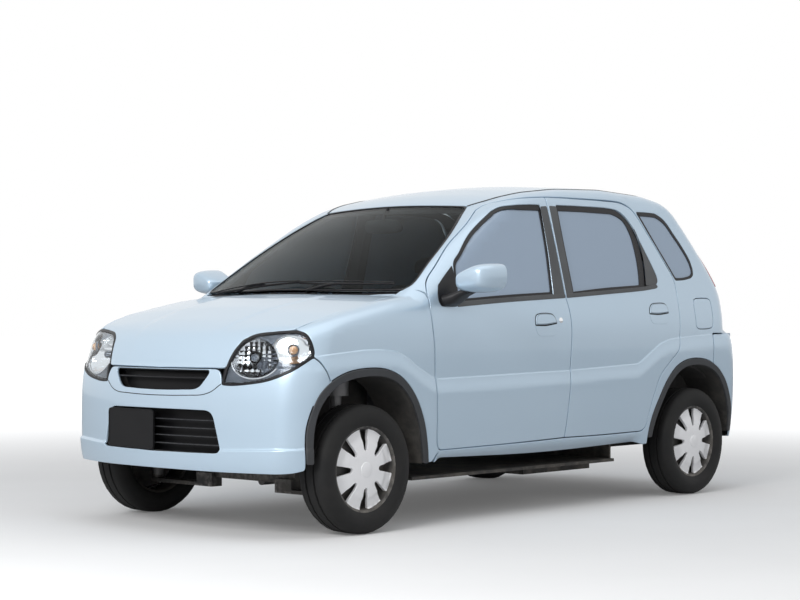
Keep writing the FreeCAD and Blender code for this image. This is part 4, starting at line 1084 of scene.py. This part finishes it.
def coverLoops():
    c = coverShape
    t = np.linspace(0, 2 * math.pi, 200, endpoint=False)
    ring = np.column_stack([np.cos(t) * c["rim"], np.full(200, 60.0), np.sin(t) * c["rim"]])
    holes = []
    side = [(c["slotIn"] + 6, c["narrow"]), (112, c["narrow"] + 4.5), (c["slotOut"], c["wide"])]
    for k in range(c["slots"]):
        turn = math.pi / 2 + k * 2 * math.pi / c["slots"]
        arc = np.linspace(-math.pi / 2, math.pi / 2, 9)
        tip = [(c["slotIn"] + 6 - math.cos(a) * c["narrow"], -math.sin(a) * c["narrow"]) for a in arc]
        end = [(math.sqrt(c["slotOut"] ** 2 - w * w) + 8, w)
               for w in np.linspace(-c["wide"], c["wide"], 7)]
        out = np.array(tip + [(r, -w) for r, w in side[1:2]] + end + [(r, w) for r, w in side[1:2]])
        r, w = out.T
        x, z = r * math.cos(turn) - w * math.sin(turn), r * math.sin(turn) + w * math.cos(turn)
        closed = np.column_stack([x, np.full(len(x), 60.0), z])
        fine = np.vstack([a + (b - a) * np.linspace(0, 1, 5, endpoint=False)[:, None]
                          for a, b in zip(closed, np.roll(closed, -1, 0))])
        holes.append(fine)
    return ring, holes


wheelView = StraightView((0, -1, 0))
ring, slots = coverLoops()
cover = panelMesh(ring, wheelView, holes=slots, gap=0.0, edge=14.0, lip=2.2, grid=12.0, spacing=4.0,
                  field=coverField)
disc = coverShape["disc"]
rimProfile = [(0, 20), (60, 22), (74, 30), (120, 26), (150, 18), (160, 34), (166, 56), (176, 62),
              (180, 60), (177, 54), (168, 40), (160, -20), (166, -54), (178, -62)]
hubCap = [(0, 2.0), (disc - 7, 1.6), (disc - 3, 0.4), (disc - 1.5, -2.0), (disc - 0.5, -4.0)]
for end, (x, y, z) in wheelAt.items():
    for side in ("left", "right"):
        body = "wheel_%s_%s" % (end, side)
        place = (x, y if side == "left" else -y, z)
        for part, (points, faces, normals), look in (
                ("Tyre", turned(tyreProfile, (0, 0, 0), 39) + (None,), "tyreRubber"),
                ("Rim", turned(rimProfile, (0, 0, 0), 72) + (None,), "darkSteel"),
                ("Cover", (cover[0], cover[1], cover[3]), "coverSilver"),
                ("Cap", turned(hubCap, (0, coverShape["face"] + coverShape["crown"] + 0.8, 0),
                               40) + (None,), "coverSilver")):
            if side == "right":
                points, faces, normals = mirrored(points, faces, normals)
            made = newPiece("%s%s%s" % (end, side.capitalize(), part), points, faces, body, look, None,
                            normals, centre=place)
            if part == "Tyre":
                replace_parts(made, "tyre_%s_%s" % (end, side))
            if part == "Cover":
                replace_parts(made, body)

print("lamps")
lampLoop = loopOf(*lampEdge.values())
skinPair("lampRim", lampLoop, "chassis", "blackTrim", noseView,
         holes=[offSkin(lampLoop, noseView, -5.5)], gap=-2.0, sink=-0.6, edge=16.0, lip=1.4, grid=14.0,
         spacing=5.0)
lens = skinPair("headlampLens", offSkin(lampLoop, noseView, -6.5), "chassis", "lampLens", noseView,
                gap=0.0, sink=1.5, edge=5.0, depth=4.5, lip=1.4, grid=14.0, spacing=5.0)
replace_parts(lens[0], "headlamps")
bowl = {"main": (508.0, 720.0, 84.0, 76.0), "turn": (641.0, 752.0, 68.0, 58.0), "shelf": 13.0,
        "deep": 60.0, "facet": (21.0, 17.0)}


def bowlDepth(s, z):
    # two dished reflectors in one bezel: a faceted one and a fluted one
    depth = np.full(len(s), bowl["shelf"])
    mark = np.zeros(len(s), int)
    for k, key in enumerate(("main", "turn")):
        a, b, w, h = bowl[key]
        r = ((s - a) / w) ** 2 + ((z - b) / h) ** 2
        deep = (bowl["shelf"] + bowl["deep"] * (1.0 - 0.55 * k) * np.sqrt(np.clip(1 - r, 0, 1))
                + 4 * (r < 1))
        mark = np.where((deep > depth) & (r < 1), k + 1, mark)
        depth = np.where(r < 1, np.maximum(depth, deep), depth)
    du, dv = bowl["facet"]
    facet = (2.4 * (np.abs(((s / du) % 1) - 0.5) * 2) ** 2
             + 2.0 * (np.abs(((z / dv) % 1) - 0.5) * 2) ** 2)
    flute = 2.2 * (np.abs(((s / 7.0) % 1) - 0.5) * 2)
    return depth + np.where(mark == 1, facet, 0) + np.where(mark == 2, flute, 0), mark


inner = evenLoop(noseView.flat(offSkin(lampLoop, noseView, -7.0)), 5.0, 1)
low, high = inner.min(0), inner.max(0)
us, vs = np.arange(low[0], high[0] + 4, 3.5), np.arange(low[1], high[1] + 4, 3.5)
grid = np.array([(u, v) for v in vs for u in us])
inside = within(inner, grid)
origin, ray = noseView.rays(grid)
skin = castOnto(origin, ray, noseView.near, noseView.far)
# in this view the first flat place is the height and the second the way round
deep, mark = bowlDepth(grid[:, 1] + 60, grid[:, 0])
skin = skin + ray * deep[:, None]
wide = len(us)
cells = [(r * wide + c, r * wide + c + 1, (r + 1) * wide + c + 1, (r + 1) * wide + c)
         for r in range(len(vs) - 1) for c in range(wide - 1)]
cells = [f[::-1] for f in cells if inside[list(f)].sum() >= 3]
newPair("headlampBowl", skin, cells, "chassis", ("lampBezel", "chrome"),
        [int(mark[list(f)].max() > 0) for f in cells], sharp=20)


def inBowl(s, z, depth):
    # a place inside the lamp, given in the bowl's own flat lengths
    origin, ray = noseView.rays(np.array([(z, s - 60.0)]))
    return castOnto(origin, ray, noseView.near, noseView.far)[0] + ray[0] * depth, -ray[0]


for part, s, z, depth, shape, look in (
        ("headlampShield", 508.0, 720.0, 34.0, [(0, 15), (8, 14), (13, 9), (15, 0), (15, -30)],
         "lampBezel"),
        ("headlampCollar", 508.0, 720.0, 66.0, [(17, 0), (24, 3), (27, -8)], "plateBlack"),
        ("turnBulb", 641.0, 752.0, 22.0, [(0, 14), (10, 12), (16, 5), (18, -4), (14, -16)],
         "bulbAmber"),
        ("turnCollar", 641.0, 752.0, 34.0, [(14, 2), (22, 4), (25, -6)], "lampBezel")):
    at, forward = inBowl(s, z, depth)
    newPair(part, *turned(shape, at, 28, forward), "chassis", look)
ringTurn = np.linspace(math.radians(95), math.radians(330), 44)
ringPath = [inBowl(508 + 90 * math.cos(t), 720 + 82 * math.sin(t), 11.0)[0] for t in ringTurn]
newPair("headlampRing", *rodAlong(ringPath, 3.4, 8), "chassis", "chrome")
skinPair("headlampHousing", offSkin(lampLoop, noseView, 2.0), "chassis", "plateBlack", noseView,
         gap=0.0, sink=84.0, edge=1.0, lip=0.5, grid=40.0)

print("grilles and number plate")


def nosePlace(z, y, back):
    return float(bumperNose(z)) - y * y / (2 * bodyForm["frontBow"]) - back


def barAcross(name, z, half, back, tall, thick, finish):
    # a slim bar that follows the bow of the nose
    rings = [softRing((nosePlace(z, y, back), y, z), (1.0, 0.0, 0.0), (0.0, 0.0, 1.0),
                      thick / 2, tall / 2, 2.6, 12)
             for y in np.linspace(-half, half, 31)]
    newPiece(name, *sweep(rings), "chassis", finish)


grilleBack = skinWhole("grilleBack", grilleLoop, "chassis", noseView, "plateBlack", gap=-6.0, sink=46.0,
                       edge=1.0, lip=0.4, grid=40.0)
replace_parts(grilleBack, "grille")
for k, (z, half, tall) in enumerate(((669.0, 284.0, 10.0), (637.0, 272.0, 7.0))):
    barAcross("grilleBar%d" % (k + 1), z, half, 20.0, tall, 26.0, "blackTrim")
mouthBack = skinWhole("mouthBack", mouthLoop, "chassis", noseView, "plateBlack", gap=-8.0, sink=60.0,
                      edge=1.0, lip=0.4, grid=40.0)
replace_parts(mouthBack, "lower_grille")
for k, z in enumerate((466.0, 433.0, 400.0, 367.0)):
    barAcross("mouthBar%d" % (k + 1), z, 336.0 + 4 * k, 26.0, 4.5, 22.0, "greyTrim")


def seamLine(path, wide=3.0, proud=0.25):
    # a thin dark line laid on the skin, where two panels meet or a groove runs; under the handle flaps
    # it is a painted shadow
    out = normalAt(path)
    across = np.cross(out, np.gradient(path, axis=0))
    across /= np.linalg.norm(across, axis=1)[:, None]
    return sweep([softRing(p + n * proud, side, n, wide / 2, 0.5, 2.0, 8)
                  for p, n, side in zip(path, out, across)])


def onNose(points):
    # (y, z) places put on the front of the body
    y, z = np.array(points, float).T
    origin = np.column_stack([np.full(len(y), 2400.0), y, z])
    return castOnto(origin, np.tile((-1.0, 0.0, 0.0), (len(y), 1)), 300, 1400)


surround = dense([(360, 616), (346, 606), (315, 585), (270, 571), (200, 567), (100, 564), (0, 563)])
surround = np.vstack([surround, (surround * (-1, 1))[::-1][1:]])
newPiece("surroundSeam", *seamLine(onNose(surround), 3.4), "chassis", "plateBlack")
plate = {"y": -166.0, "half": 165.0, "low": 337.0, "high": 502.0}


def plateRing(grow, back):
    z, tall = (plate["low"] + plate["high"]) / 2, (plate["high"] - plate["low"]) / 2
    slant = np.array([plate["y"] / bodyForm["frontBow"], 1.0, 0.0])
    ring = softRing((0, plate["y"], z), slant / np.linalg.norm(slant), (0.0, 0.0, 1.0),
                    plate["half"] + grow, tall + grow, 14.0, 64)
    ring[:, 0] = (nosePlace(420, plate["y"], back)
                  - (ring[:, 1] - plate["y"]) * plate["y"] / bodyForm["frontBow"])
    return ring


rings = [plateRing(g, b) for g, b in ((0, 12.0), (0, 3.4), (-0.8, 2.6), (-5.0, 2.6), (-6.0, 4.0),
                                      (-40.0, 4.0))]
board = newPiece("frontPlateBoard", *sweep(rings), "chassis", "plateBlack")
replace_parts(board, "front_plate")

print("handles, lock, mirrors and fuel lid")
handleAt = {"front": [(86, 847), (84, 872), (75, 890), (41, 898), (-20, 898), (-44, 893), (-58, 880),
                      (-68, 856)],
            "rear": [(-808, 899), (-816, 926), (-834, 943), (-880, 949), (-930, 949), (-949, 945),
                     (-963, 930), (-968, 904)]}
for end, line in handleAt.items():
    line = np.array(line, float)
    body = end + "_door_%s"
    foot = line[:, 1].min() - 46
    middle = (line[0] + line[-1]) / 2
    flap = [tuple(p) for p in line]
    lower = [flap[-1], (line[-1][0] + 4, middle[1] - 26), (line[-1][0] + 16, foot + 2),
             (middle[0], foot - 3), (line[0][0] - 18, foot + 2), (line[0][0] - 5, middle[1] - 26),
             flap[0]]
    skinPair(end + "HandleScoop", loopOf([flap[-1], flap[0]], lower[::-1]), body, "paint", gap=-1.5,
             sink=-1.2, edge=2.0, lip=1.0, grid=9.0, spacing=4.0)
    skinPair(end + "HandleFlap",
             loopOf(flap, [flap[-1], ((flap[0][0] + flap[-1][0]) / 2, middle[1] - 4), flap[0]]), body,
             "paint", gap=1.0, sink=-5.0, edge=6.0, lip=3.2, grid=9.0, spacing=4.0)
    newPair(end + "HandleEdge", *seamLine(dense(onSide(flap), 5.0), 5.0, 1.0), body, "plateBlack")
    # a wide black strip under each flap: painted shadow, standing in for the shade the flap casts on
    # the scoop
    under = [flap[0], ((flap[0][0] + flap[-1][0]) / 2, middle[1] - 5), flap[-1]]
    newPair(end + "HandlePaintedShadow", *seamLine(dense(onSide(under), 5.0), 9.0, 1.4), body, "plateBlack")
lockAt = onSide([(-101, 868)])[0]
out = normalAt(lockAt[None])[0]
newPair("doorLock", *turned([(0, 3.4), (10.5, 3.2), (12.8, 1.8), (13.5, -2)], lockAt, 28, out),
        "front_door_%s", "chrome")
mirrorShape = {"x": (560.0, 706.0), "y": 846.0, "z": 1042.0, "half": (92.0, 60.0)}


def mirrorRing(x, scale):
    # the top slopes down towards the car
    m = mirrorShape
    ring = softRing((x, m["y"], m["z"]), (0.0, 1.0, 0.0), (0.0, 0.0, 1.0), m["half"][0] * scale,
                    m["half"][1] * scale, 3.4, 48)
    inward = (m["y"] - ring[:, 1]) / m["half"][0]
    ring[:, 2] -= np.where(ring[:, 2] > m["z"],
                           (ring[:, 2] - m["z"]) * 0.55 * np.clip(inward + 0.15, 0, 1), 0)
    ring[:, 2] += 6 - 8 * inward
    ring[:, 0] += inward * 10
    return ring


m = mirrorShape
steps = np.linspace(0, 1, 14)
shell = [mirrorRing(m["x"][0] + 10, 0.90), mirrorRing(m["x"][0] + 2, 0.92), mirrorRing(m["x"][0], 0.96)]
shell += [mirrorRing(m["x"][0] + 4 + (m["x"][1] - m["x"][0] - 4) * math.sin(t * math.pi / 2),
                     max(0.05, math.cos(t * math.pi / 2) ** 0.34)) for t in steps]
housing = newPair("mirrorHousing", *sweep(shell), "front_door_%s", "paint")
standsFor(housing, "mirror_%s")
newPair("mirrorGlass", *sweep([mirrorRing(m["x"][0] + 8, 0.90), mirrorRing(m["x"][0] + 5, 0.89),
                               mirrorRing(m["x"][0] + 5, 0.1)]), "front_door_%s", "mirrorGlass")
foot = [softRing((x, y, z), (1, 0, 0), (0, 0, 1), a, b, p) for x, y, z, a, b, p in (
    (656, 690, 952, 50, 26, 3.5), (654, 716, 954, 48, 26, 3.5), (646, 745, 966, 42, 24, 3.0),
    (638, 775, 984, 36, 16, 3.0), (632, 812, 994, 30, 10, 3.0))]
newPair("mirrorFoot", *sweep(foot), "front_door_%s", "blackTrim")
lid = panelMesh(loopOf(fuelLid), flank, depth=8.0, gap=1.8, edge=6.0, grid=20.0, spacing=5.0)
lidPiece = newPiece("fuelLid", lid[0], lid[1], "fuel_lid", ("paint", "blackTrim"), lid[2], lid[3])
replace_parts(lidPiece, "fuel_lid")
pocket = panelMesh(loopOf(fuelLid), flank, sink=30.0, gap=-1.0, edge=1.0, lip=0.5, grid=30.0)
newPiece("fuelPocket", pocket[0], pocket[1], "chassis", "blackTrim", None, pocket[3])
capAt = onSide([(-1285, 900)])[0]
capOut = normalAt(capAt[None])[0]
newPiece("fuelCap", *turned([(0, -14), (24, -14), (27, -17), (28, -30)], capAt, 32, capOut), "chassis",
         "blackTrim")

print("tail lamps and rear details")
tailSide = fromBehind((628, 612, 596, 578, 572), (1034, 1090, 1160, 1235, 1266))
tailLoop = loopOf([(-1347, 1266), (-1380, 1205), (-1425, 1110), (-1463, 1034)],
                  [tuple(p) for p in [onSide([(-1463, 1034)])[0]] + list(tailSide[:1])],
                  [tuple(p) for p in tailSide],
                  [tuple(tailSide[-1]), tuple(onSide([(-1347, 1266)])[0])])
tailView = DrumView("z", (-1000, 300, 0), 2.2)
lights = skinPair("tailLamp", tailLoop, "chassis", ("redLens", "redLens"), tailView, gap=1.5, sink=-3.0,
                  edge=8.0, depth=7.0, lip=2.6, grid=12.0, spacing=5.0)
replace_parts(lights[0], "tail_lamps")

# the painted shelf between the tailgate's foot and the rear bumper's top edge
shelfSteps = np.linspace(0, 1, 9)
shelfAcross = np.linspace(-1, 1, 61)
innerEdge = np.array([(-1541, -697), (-1588, -640), (-1599, -600), (-1598, -300), (-1600, 0),
                      (-1598, 300), (-1599, 600), (-1588, 640), (-1541, 697)], float)
outerEdge = fromBehind(690 * shelfAcross, 784.0, 400, 900)
innerX = np.interp(outerEdge[:, 1], innerEdge[:, 1], innerEdge[:, 0])
shelf = []
for top in (0.0, -8.0):
    for t in shelfSteps:
        x = innerX + (np.minimum(outerEdge[:, 0] + 3.0, innerX - 0.5) - innerX) * t
        shelf.append(np.column_stack([x, outerEdge[:, 1], 799.0 - 8.0 * t ** 4 + top + 0 * x]))
loops = shelf[:9] + shelf[:8:-1]
count = len(shelfAcross)
rings = [np.array([row[k] for row in loops]) for k in range(count)]
newPiece("rearShelf", *sweep(rings), "chassis", "paint")
wiperSpots = fromBehind(np.linspace(-20, 330, 24), np.linspace(1112, 1150, 24))
outward = normalAt(wiperSpots)
newPiece("rearWiperBlade", *rodAlong(wiperSpots + outward * 9, 5.0), "tailgate", "blackTrim")
newPiece("rearWiperArm", *rodAlong(wiperSpots[:14] + outward[:14] * 19, np.linspace(10, 5, 14)),
         "tailgate", "blackTrim")
handleSpots = fromBehind(np.linspace(-260, 260, 27), 905.0)
handleRings = [softRing(p + (-4, 0, 0), (1, 0, 0), (0, 0, 1), 12.0, 16.0, 3.5, 16) for p in handleSpots]
newPiece("tailgateHandle", *sweep(handleRings), "tailgate", "paint")

print("wipers, cowl and roof strips")
wiperLines = {"left": ([(905, 60, 1012), (905, 250, 1018), (880, 420, 1022), (845, 560, 1026)],
                       [(940, 130, 1000), (918, 250, 1024), (896, 330, 1030)]),
              "right": ([(930, -480, 1004), (938, -300, 1014), (925, -120, 1022), (905, 60, 1026)],
                        [(930, -330, 1000), (935, -220, 1026), (930, -150, 1030)])}
for side, (blade, arm) in wiperLines.items():
    along = dense(np.array(blade, float), 12.0)
    origin = along + (400, 0, 500)
    on = castOnto(origin, np.tile(np.array((-0.62, 0, -0.78)), (len(origin), 1)), 0, 1100)
    lift = normalAt(on)
    newPiece(side + "WiperBlade", *rodAlong(on + lift * 9, np.r_[2.0, np.full(len(on) - 2, 5.0), 2.0]),
             "chassis", "blackTrim")
    newPiece(side + "WiperSpine",
             *rodAlong(on + lift * (16 + 8 * np.sin(np.linspace(0, math.pi, len(on))))[:, None], 3.0),
             "chassis", "blackTrim")
    reach = dense(np.array(arm, float), 12.0)
    newPiece(side + "WiperArm", *rodAlong(reach, np.linspace(8, 4.5, len(reach))), "chassis",
             "blackTrim")
cowlLoop = acrossLoop([(956, 0, 1001), (946, 250, 1000), (910, 430, 998), (852, 606, 996)],
                      [(852, 606, 996), (880, 600, 982)],
                      [(880, 600, 982), (940, 430, 979), (985, 250, 982), (1010, 0, 986)])
skinWhole("cowlPanel", cowlLoop, "chassis", bonnetView, "blackTrim", gap=-2.0, sink=14.0, edge=2.0,
          lip=0.8, grid=16.0)
for k in range(15):
    y = -420 + k * 60
    x = 968 - y * y / 4200
    bar = [softRing((x + d, y, 986 - d * 0.3 - y * y / 15000), (0, 1, 0), (0, 0, 1), 24, 2.0, 3.0, 12)
           for d in (-9, -5, 5, 9)]
    newPiece("cowlLouvre%d" % (k + 1), *sweep(bar), "chassis", "plateBlack")
ditch = dense(onSide([(235, 446, 1387), (150, 484, 1411), (0, 500, 1448), (-300, 507, 1478),
                      (-700, 507, 1486), (-1000, 502, 1469), (-1160, 494, 1441)]), 14.0)
origin = ditch * (1, 1, 0) + (0, 0, 2000)
ditch = castOnto(origin, np.tile((0.0, 0.0, -1.0), (len(origin), 1)), 300, 1100)
up = normalAt(ditch)
rings = [softRing(p + n * 0.3, np.cross(n, (1.0, 0, 0)), n, 5.5, 2.0, 3.0, 10)
         for p, n in zip(ditch, up)]
newPair("roofStrip", *sweep(rings), "chassis", "blackTrim")

print("cabin")
cushionForm = {"net": 22, "crown": 0.16, "seamWidth": 0.035, "seamDepth": 0.07, "fill": 0.75}


def cushion(name, centre, half, tilt, finish, power=5.0, seams=()):
    # a crowned pad: a rounded block whose big faces bulge, with sewn grooves across it
    n = cushionForm["net"]
    points, faces, where = [], [], {}
    line = np.linspace(-1, 1, n)
    for axis in range(3):
        for sign in (-1.0, 1.0):
            key = {}
            for i, a in enumerate(line):
                for j, b in enumerate(line):
                    q = [0.0, 0.0, 0.0]
                    q[axis], q[(axis + 1) % 3], q[(axis + 2) % 3] = sign, a, b
                    spot = tuple(round(v, 4) for v in q)
                    if spot not in where:
                        where[spot] = len(points)
                        points.append(q)
                    key[i, j] = where[spot]
            for i in range(n - 1):
                for j in range(n - 1):
                    quad = (key[i, j], key[i + 1, j], key[i + 1, j + 1], key[i, j + 1])
                    faces.append(quad if sign > 0 else quad[::-1])
    q = np.array(points)
    size = (np.abs(q) ** power).sum(1) ** (1 / power)
    q = q / size[:, None]
    q[:, 2] *= 1 + cushionForm["crown"] * (1 - q[:, 0] ** 2) * (1 - q[:, 1] ** 2)
    groove = (sum(np.exp(-((q[:, k] - at) / cushionForm["seamWidth"]) ** 2) for k, at in seams)
              if seams else 0)
    q[:, 2] *= 1 - cushionForm["seamDepth"] * groove
    p = q * half
    c, s = math.cos(tilt), math.sin(tilt)
    p = np.column_stack([p[:, 0] * c + p[:, 2] * s, p[:, 1], -p[:, 0] * s + p[:, 2] * c]) + centre
    made = newPiece(name, p, faces, "chassis", finish, sharp=80)
    return made


for side, y in (("left", 330.0), ("right", -330.0)):
    label = side + "Seat"
    parts = [cushion(label + "Base", (-70, y, 455), (235, 215, 72), -0.12, "seatCloth",
                     seams=((1, -0.55), (1, 0.55), (0, 0.55))),
             cushion(label + "Back", (-345, y, 745), (310, 205, 66), -1.35, "seatCloth",
                     seams=((1, -0.55), (1, 0.55), (0, -0.5), (0, 0.35))),
             cushion(label + "Head", (-420, y, 1105), (82, 120, 48), -1.35, "seatSide", power=3.6)]
    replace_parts(parts[0], "front_seat_" + side)
    for k in (-1, 1):
        stay = rodAlong([(-396, y + 45 * k, 1000), (-410, y + 45 * k, 1060)], 6.0)
        newPiece("%sStay%d" % (label, k + 2), *stay, "chassis", "chrome")
rearBench = [cushion("rearBenchBase", (-800, 0, 520), (240, 520, 70), -0.08, "seatCloth",
                     seams=((1, -0.36), (1, 0.36))),
             cushion("rearBenchBack", (-1075, 0, 780), (250, 520, 60), -1.3, "seatCloth",
                     seams=((1, -0.36), (1, 0.36), (1, 0.0)))]
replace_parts(rearBench[0], "rear_seat")
for k, y in enumerate((-290, 290)):
    cushion("rearHead%d" % (k + 1), (-1130, y, 1045), (62, 110, 40), -1.3, "seatSide", power=3.6)
glassBack = [softRing((x, 0, 1300), (0, 1, 0), (0.15, 0, 1), a, b, 4.0, 40)
             for x, a, b in ((300, 100, 24), (304, 110, 31), (318, 112, 33), (330, 104, 28),
                             (334, 60, 14))]
newPiece("cabinMirror", *sweep(glassBack), "chassis", "sashFilm")
newPiece("cabinMirrorStay", *rodAlong([(318, 0, 1330), (300, 0, 1360), (285, 0, 1388)], 6.0), "chassis",
         "blackTrim")

print("looks of the carried-over nodes")
carried = {
    "underside": ("floor_pan", "front_aprons", "fuel_tank"),
    "castMetal": ("engine", "front_knuckle_left", "front_knuckle_right", "exhaust"),
    "darkSteel": ("front_crossmember", "rear_axle"),
    "blackTrim": ("cowl", "steering_wheel"),
    "dashGrey": ("dashboard",),
}
for look, nodes in carried.items():
    for node in nodes:
        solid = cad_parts[node]
        solid.data.materials.clear()
        solid.data.materials.append(finishes[look][0])

print("camera, light and floor")
lighting = {"skyStrength": 0.42, "key": 56.0, "front": 225.0, "rear": 40.0}
view = {"lens": 84.43, "sensor": 36.0, "shift": 0.0198, "place": (6.6805, 5.974, 0.888),
        "across": (0.7351, -0.6780)}
camera = bpy.data.objects.new("photoCamera", bpy.data.cameras.new("photoCamera"))
camera.data.lens = view["lens"]
camera.data.sensor_width = view["sensor"]
camera.data.shift_y = view["shift"]
camera.data.clip_end = 100.0
camera.location = view["place"]
camera.rotation_euler = (math.pi / 2, 0, math.atan2(*view["across"]))
bpy.context.scene.collection.objects.link(camera)
bpy.context.scene.camera = camera
bpy.context.scene.view_settings.view_transform = "Standard"

world = bpy.data.worlds.new("softSky")
bpy.context.scene.world = world
world.use_nodes = True
sky = world.node_tree
up = addNode(sky, "SeparateXYZ",
             {"Vector": addNode(sky, "TexCoord", {}).outputs["Generated"]}).outputs[2]
shade = blendColour(sky, ramp(sky, up, -0.15, 0.55), (0.62, 0.62, 0.61, 1), (0.93, 0.96, 1.0, 1))
path = addNode(sky, "LightPath", {}).outputs
seen = mathNode(sky, "MAXIMUM", mathNode(sky, "MAXIMUM", path["Is Camera Ray"], path["Is Glossy Ray"]),
                path["Is Transmission Ray"])
background = sky.nodes["Background"]
sky.links.new(blendColour(sky, seen, shade, (1, 1, 1, 1)), background.inputs["Color"])
sky.links.new(mathNode(sky, "MULTIPLY_ADD", seen, 1.0 - lighting["skyStrength"],
                       lighting["skyStrength"]), background.inputs["Strength"])


def softLamp(name, place, target, size, power, reflected=True):
    lamp = bpy.data.objects.new(name, bpy.data.lights.new(name, "AREA"))
    lamp.data.shape = "RECTANGLE"
    lamp.data.size, lamp.data.size_y = size
    lamp.data.energy = power
    lamp.location = place
    lamp.rotation_euler = (Vector(target) - Vector(place)).to_track_quat("-Z", "Y").to_euler()
    lamp.visible_glossy = reflected
    bpy.context.scene.collection.objects.link(lamp)


softLamp("overhead", (0.5, 1.5, 5.0), (0, 0, 0.6), (6.0, 4.0), lighting["key"])
softLamp("front", (6.0, 1.6, 3.4), (0.8, 0, 0.6), (3.0, 2.0), lighting["front"])
softLamp("rearLeft", (-4.5, 5.0, 2.6), (-0.8, 0, 0.6), (3.0, 2.0), lighting["rear"], reflected=False)

floorSize = 60.0
floorMesh = bpy.data.meshes.new("paleFloor")
corners = [(floorSize * x, floorSize * y, 0) for x, y in ((-1, -1), (1, -1), (1, 1), (-1, 1))]
floorMesh.from_pydata(corners, [], [(0, 1, 2, 3)])
floor = bpy.data.objects.new("paleFloor", floorMesh)
bpy.context.scene.collection.objects.link(floor)
floor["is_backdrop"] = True
floorLook = bpy.data.materials.new("paleFloor")
floorLook.use_nodes = True
ground = floorLook.node_tree
tone = addNode(ground, "TexNoise", {"Vector": placeOf(ground), "Scale": 1.2, "Detail": 5.0}).outputs[0]
surface = ground.nodes["Principled BSDF"]
ground.links.new(blendColour(ground, tone, (0.70, 0.70, 0.70, 1), (0.76, 0.76, 0.76, 1)),
                 surface.inputs["Base Color"])
surface.inputs["Roughness"].default_value = 0.8
surface.inputs["Emission Color"].default_value = (1, 1, 1, 1)
# far off the floor passes into the white background
away = addNode(ground, "VectorMath", {0: placeOf(ground)}, operation="LENGTH").outputs["Value"]
looked = addNode(ground, "LightPath", {}).outputs["Is Camera Ray"]
ground.links.new(mathNode(ground, "MULTIPLY", looked,
                          mathNode(ground, "MULTIPLY_ADD", ramp(ground, away, 1.5, 9.0), 0.72, 0.10)),
                 surface.inputs["Emission Strength"])
floorMesh.materials.append(floorLook)

low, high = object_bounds()
print("pieces", pieceCount["made"])
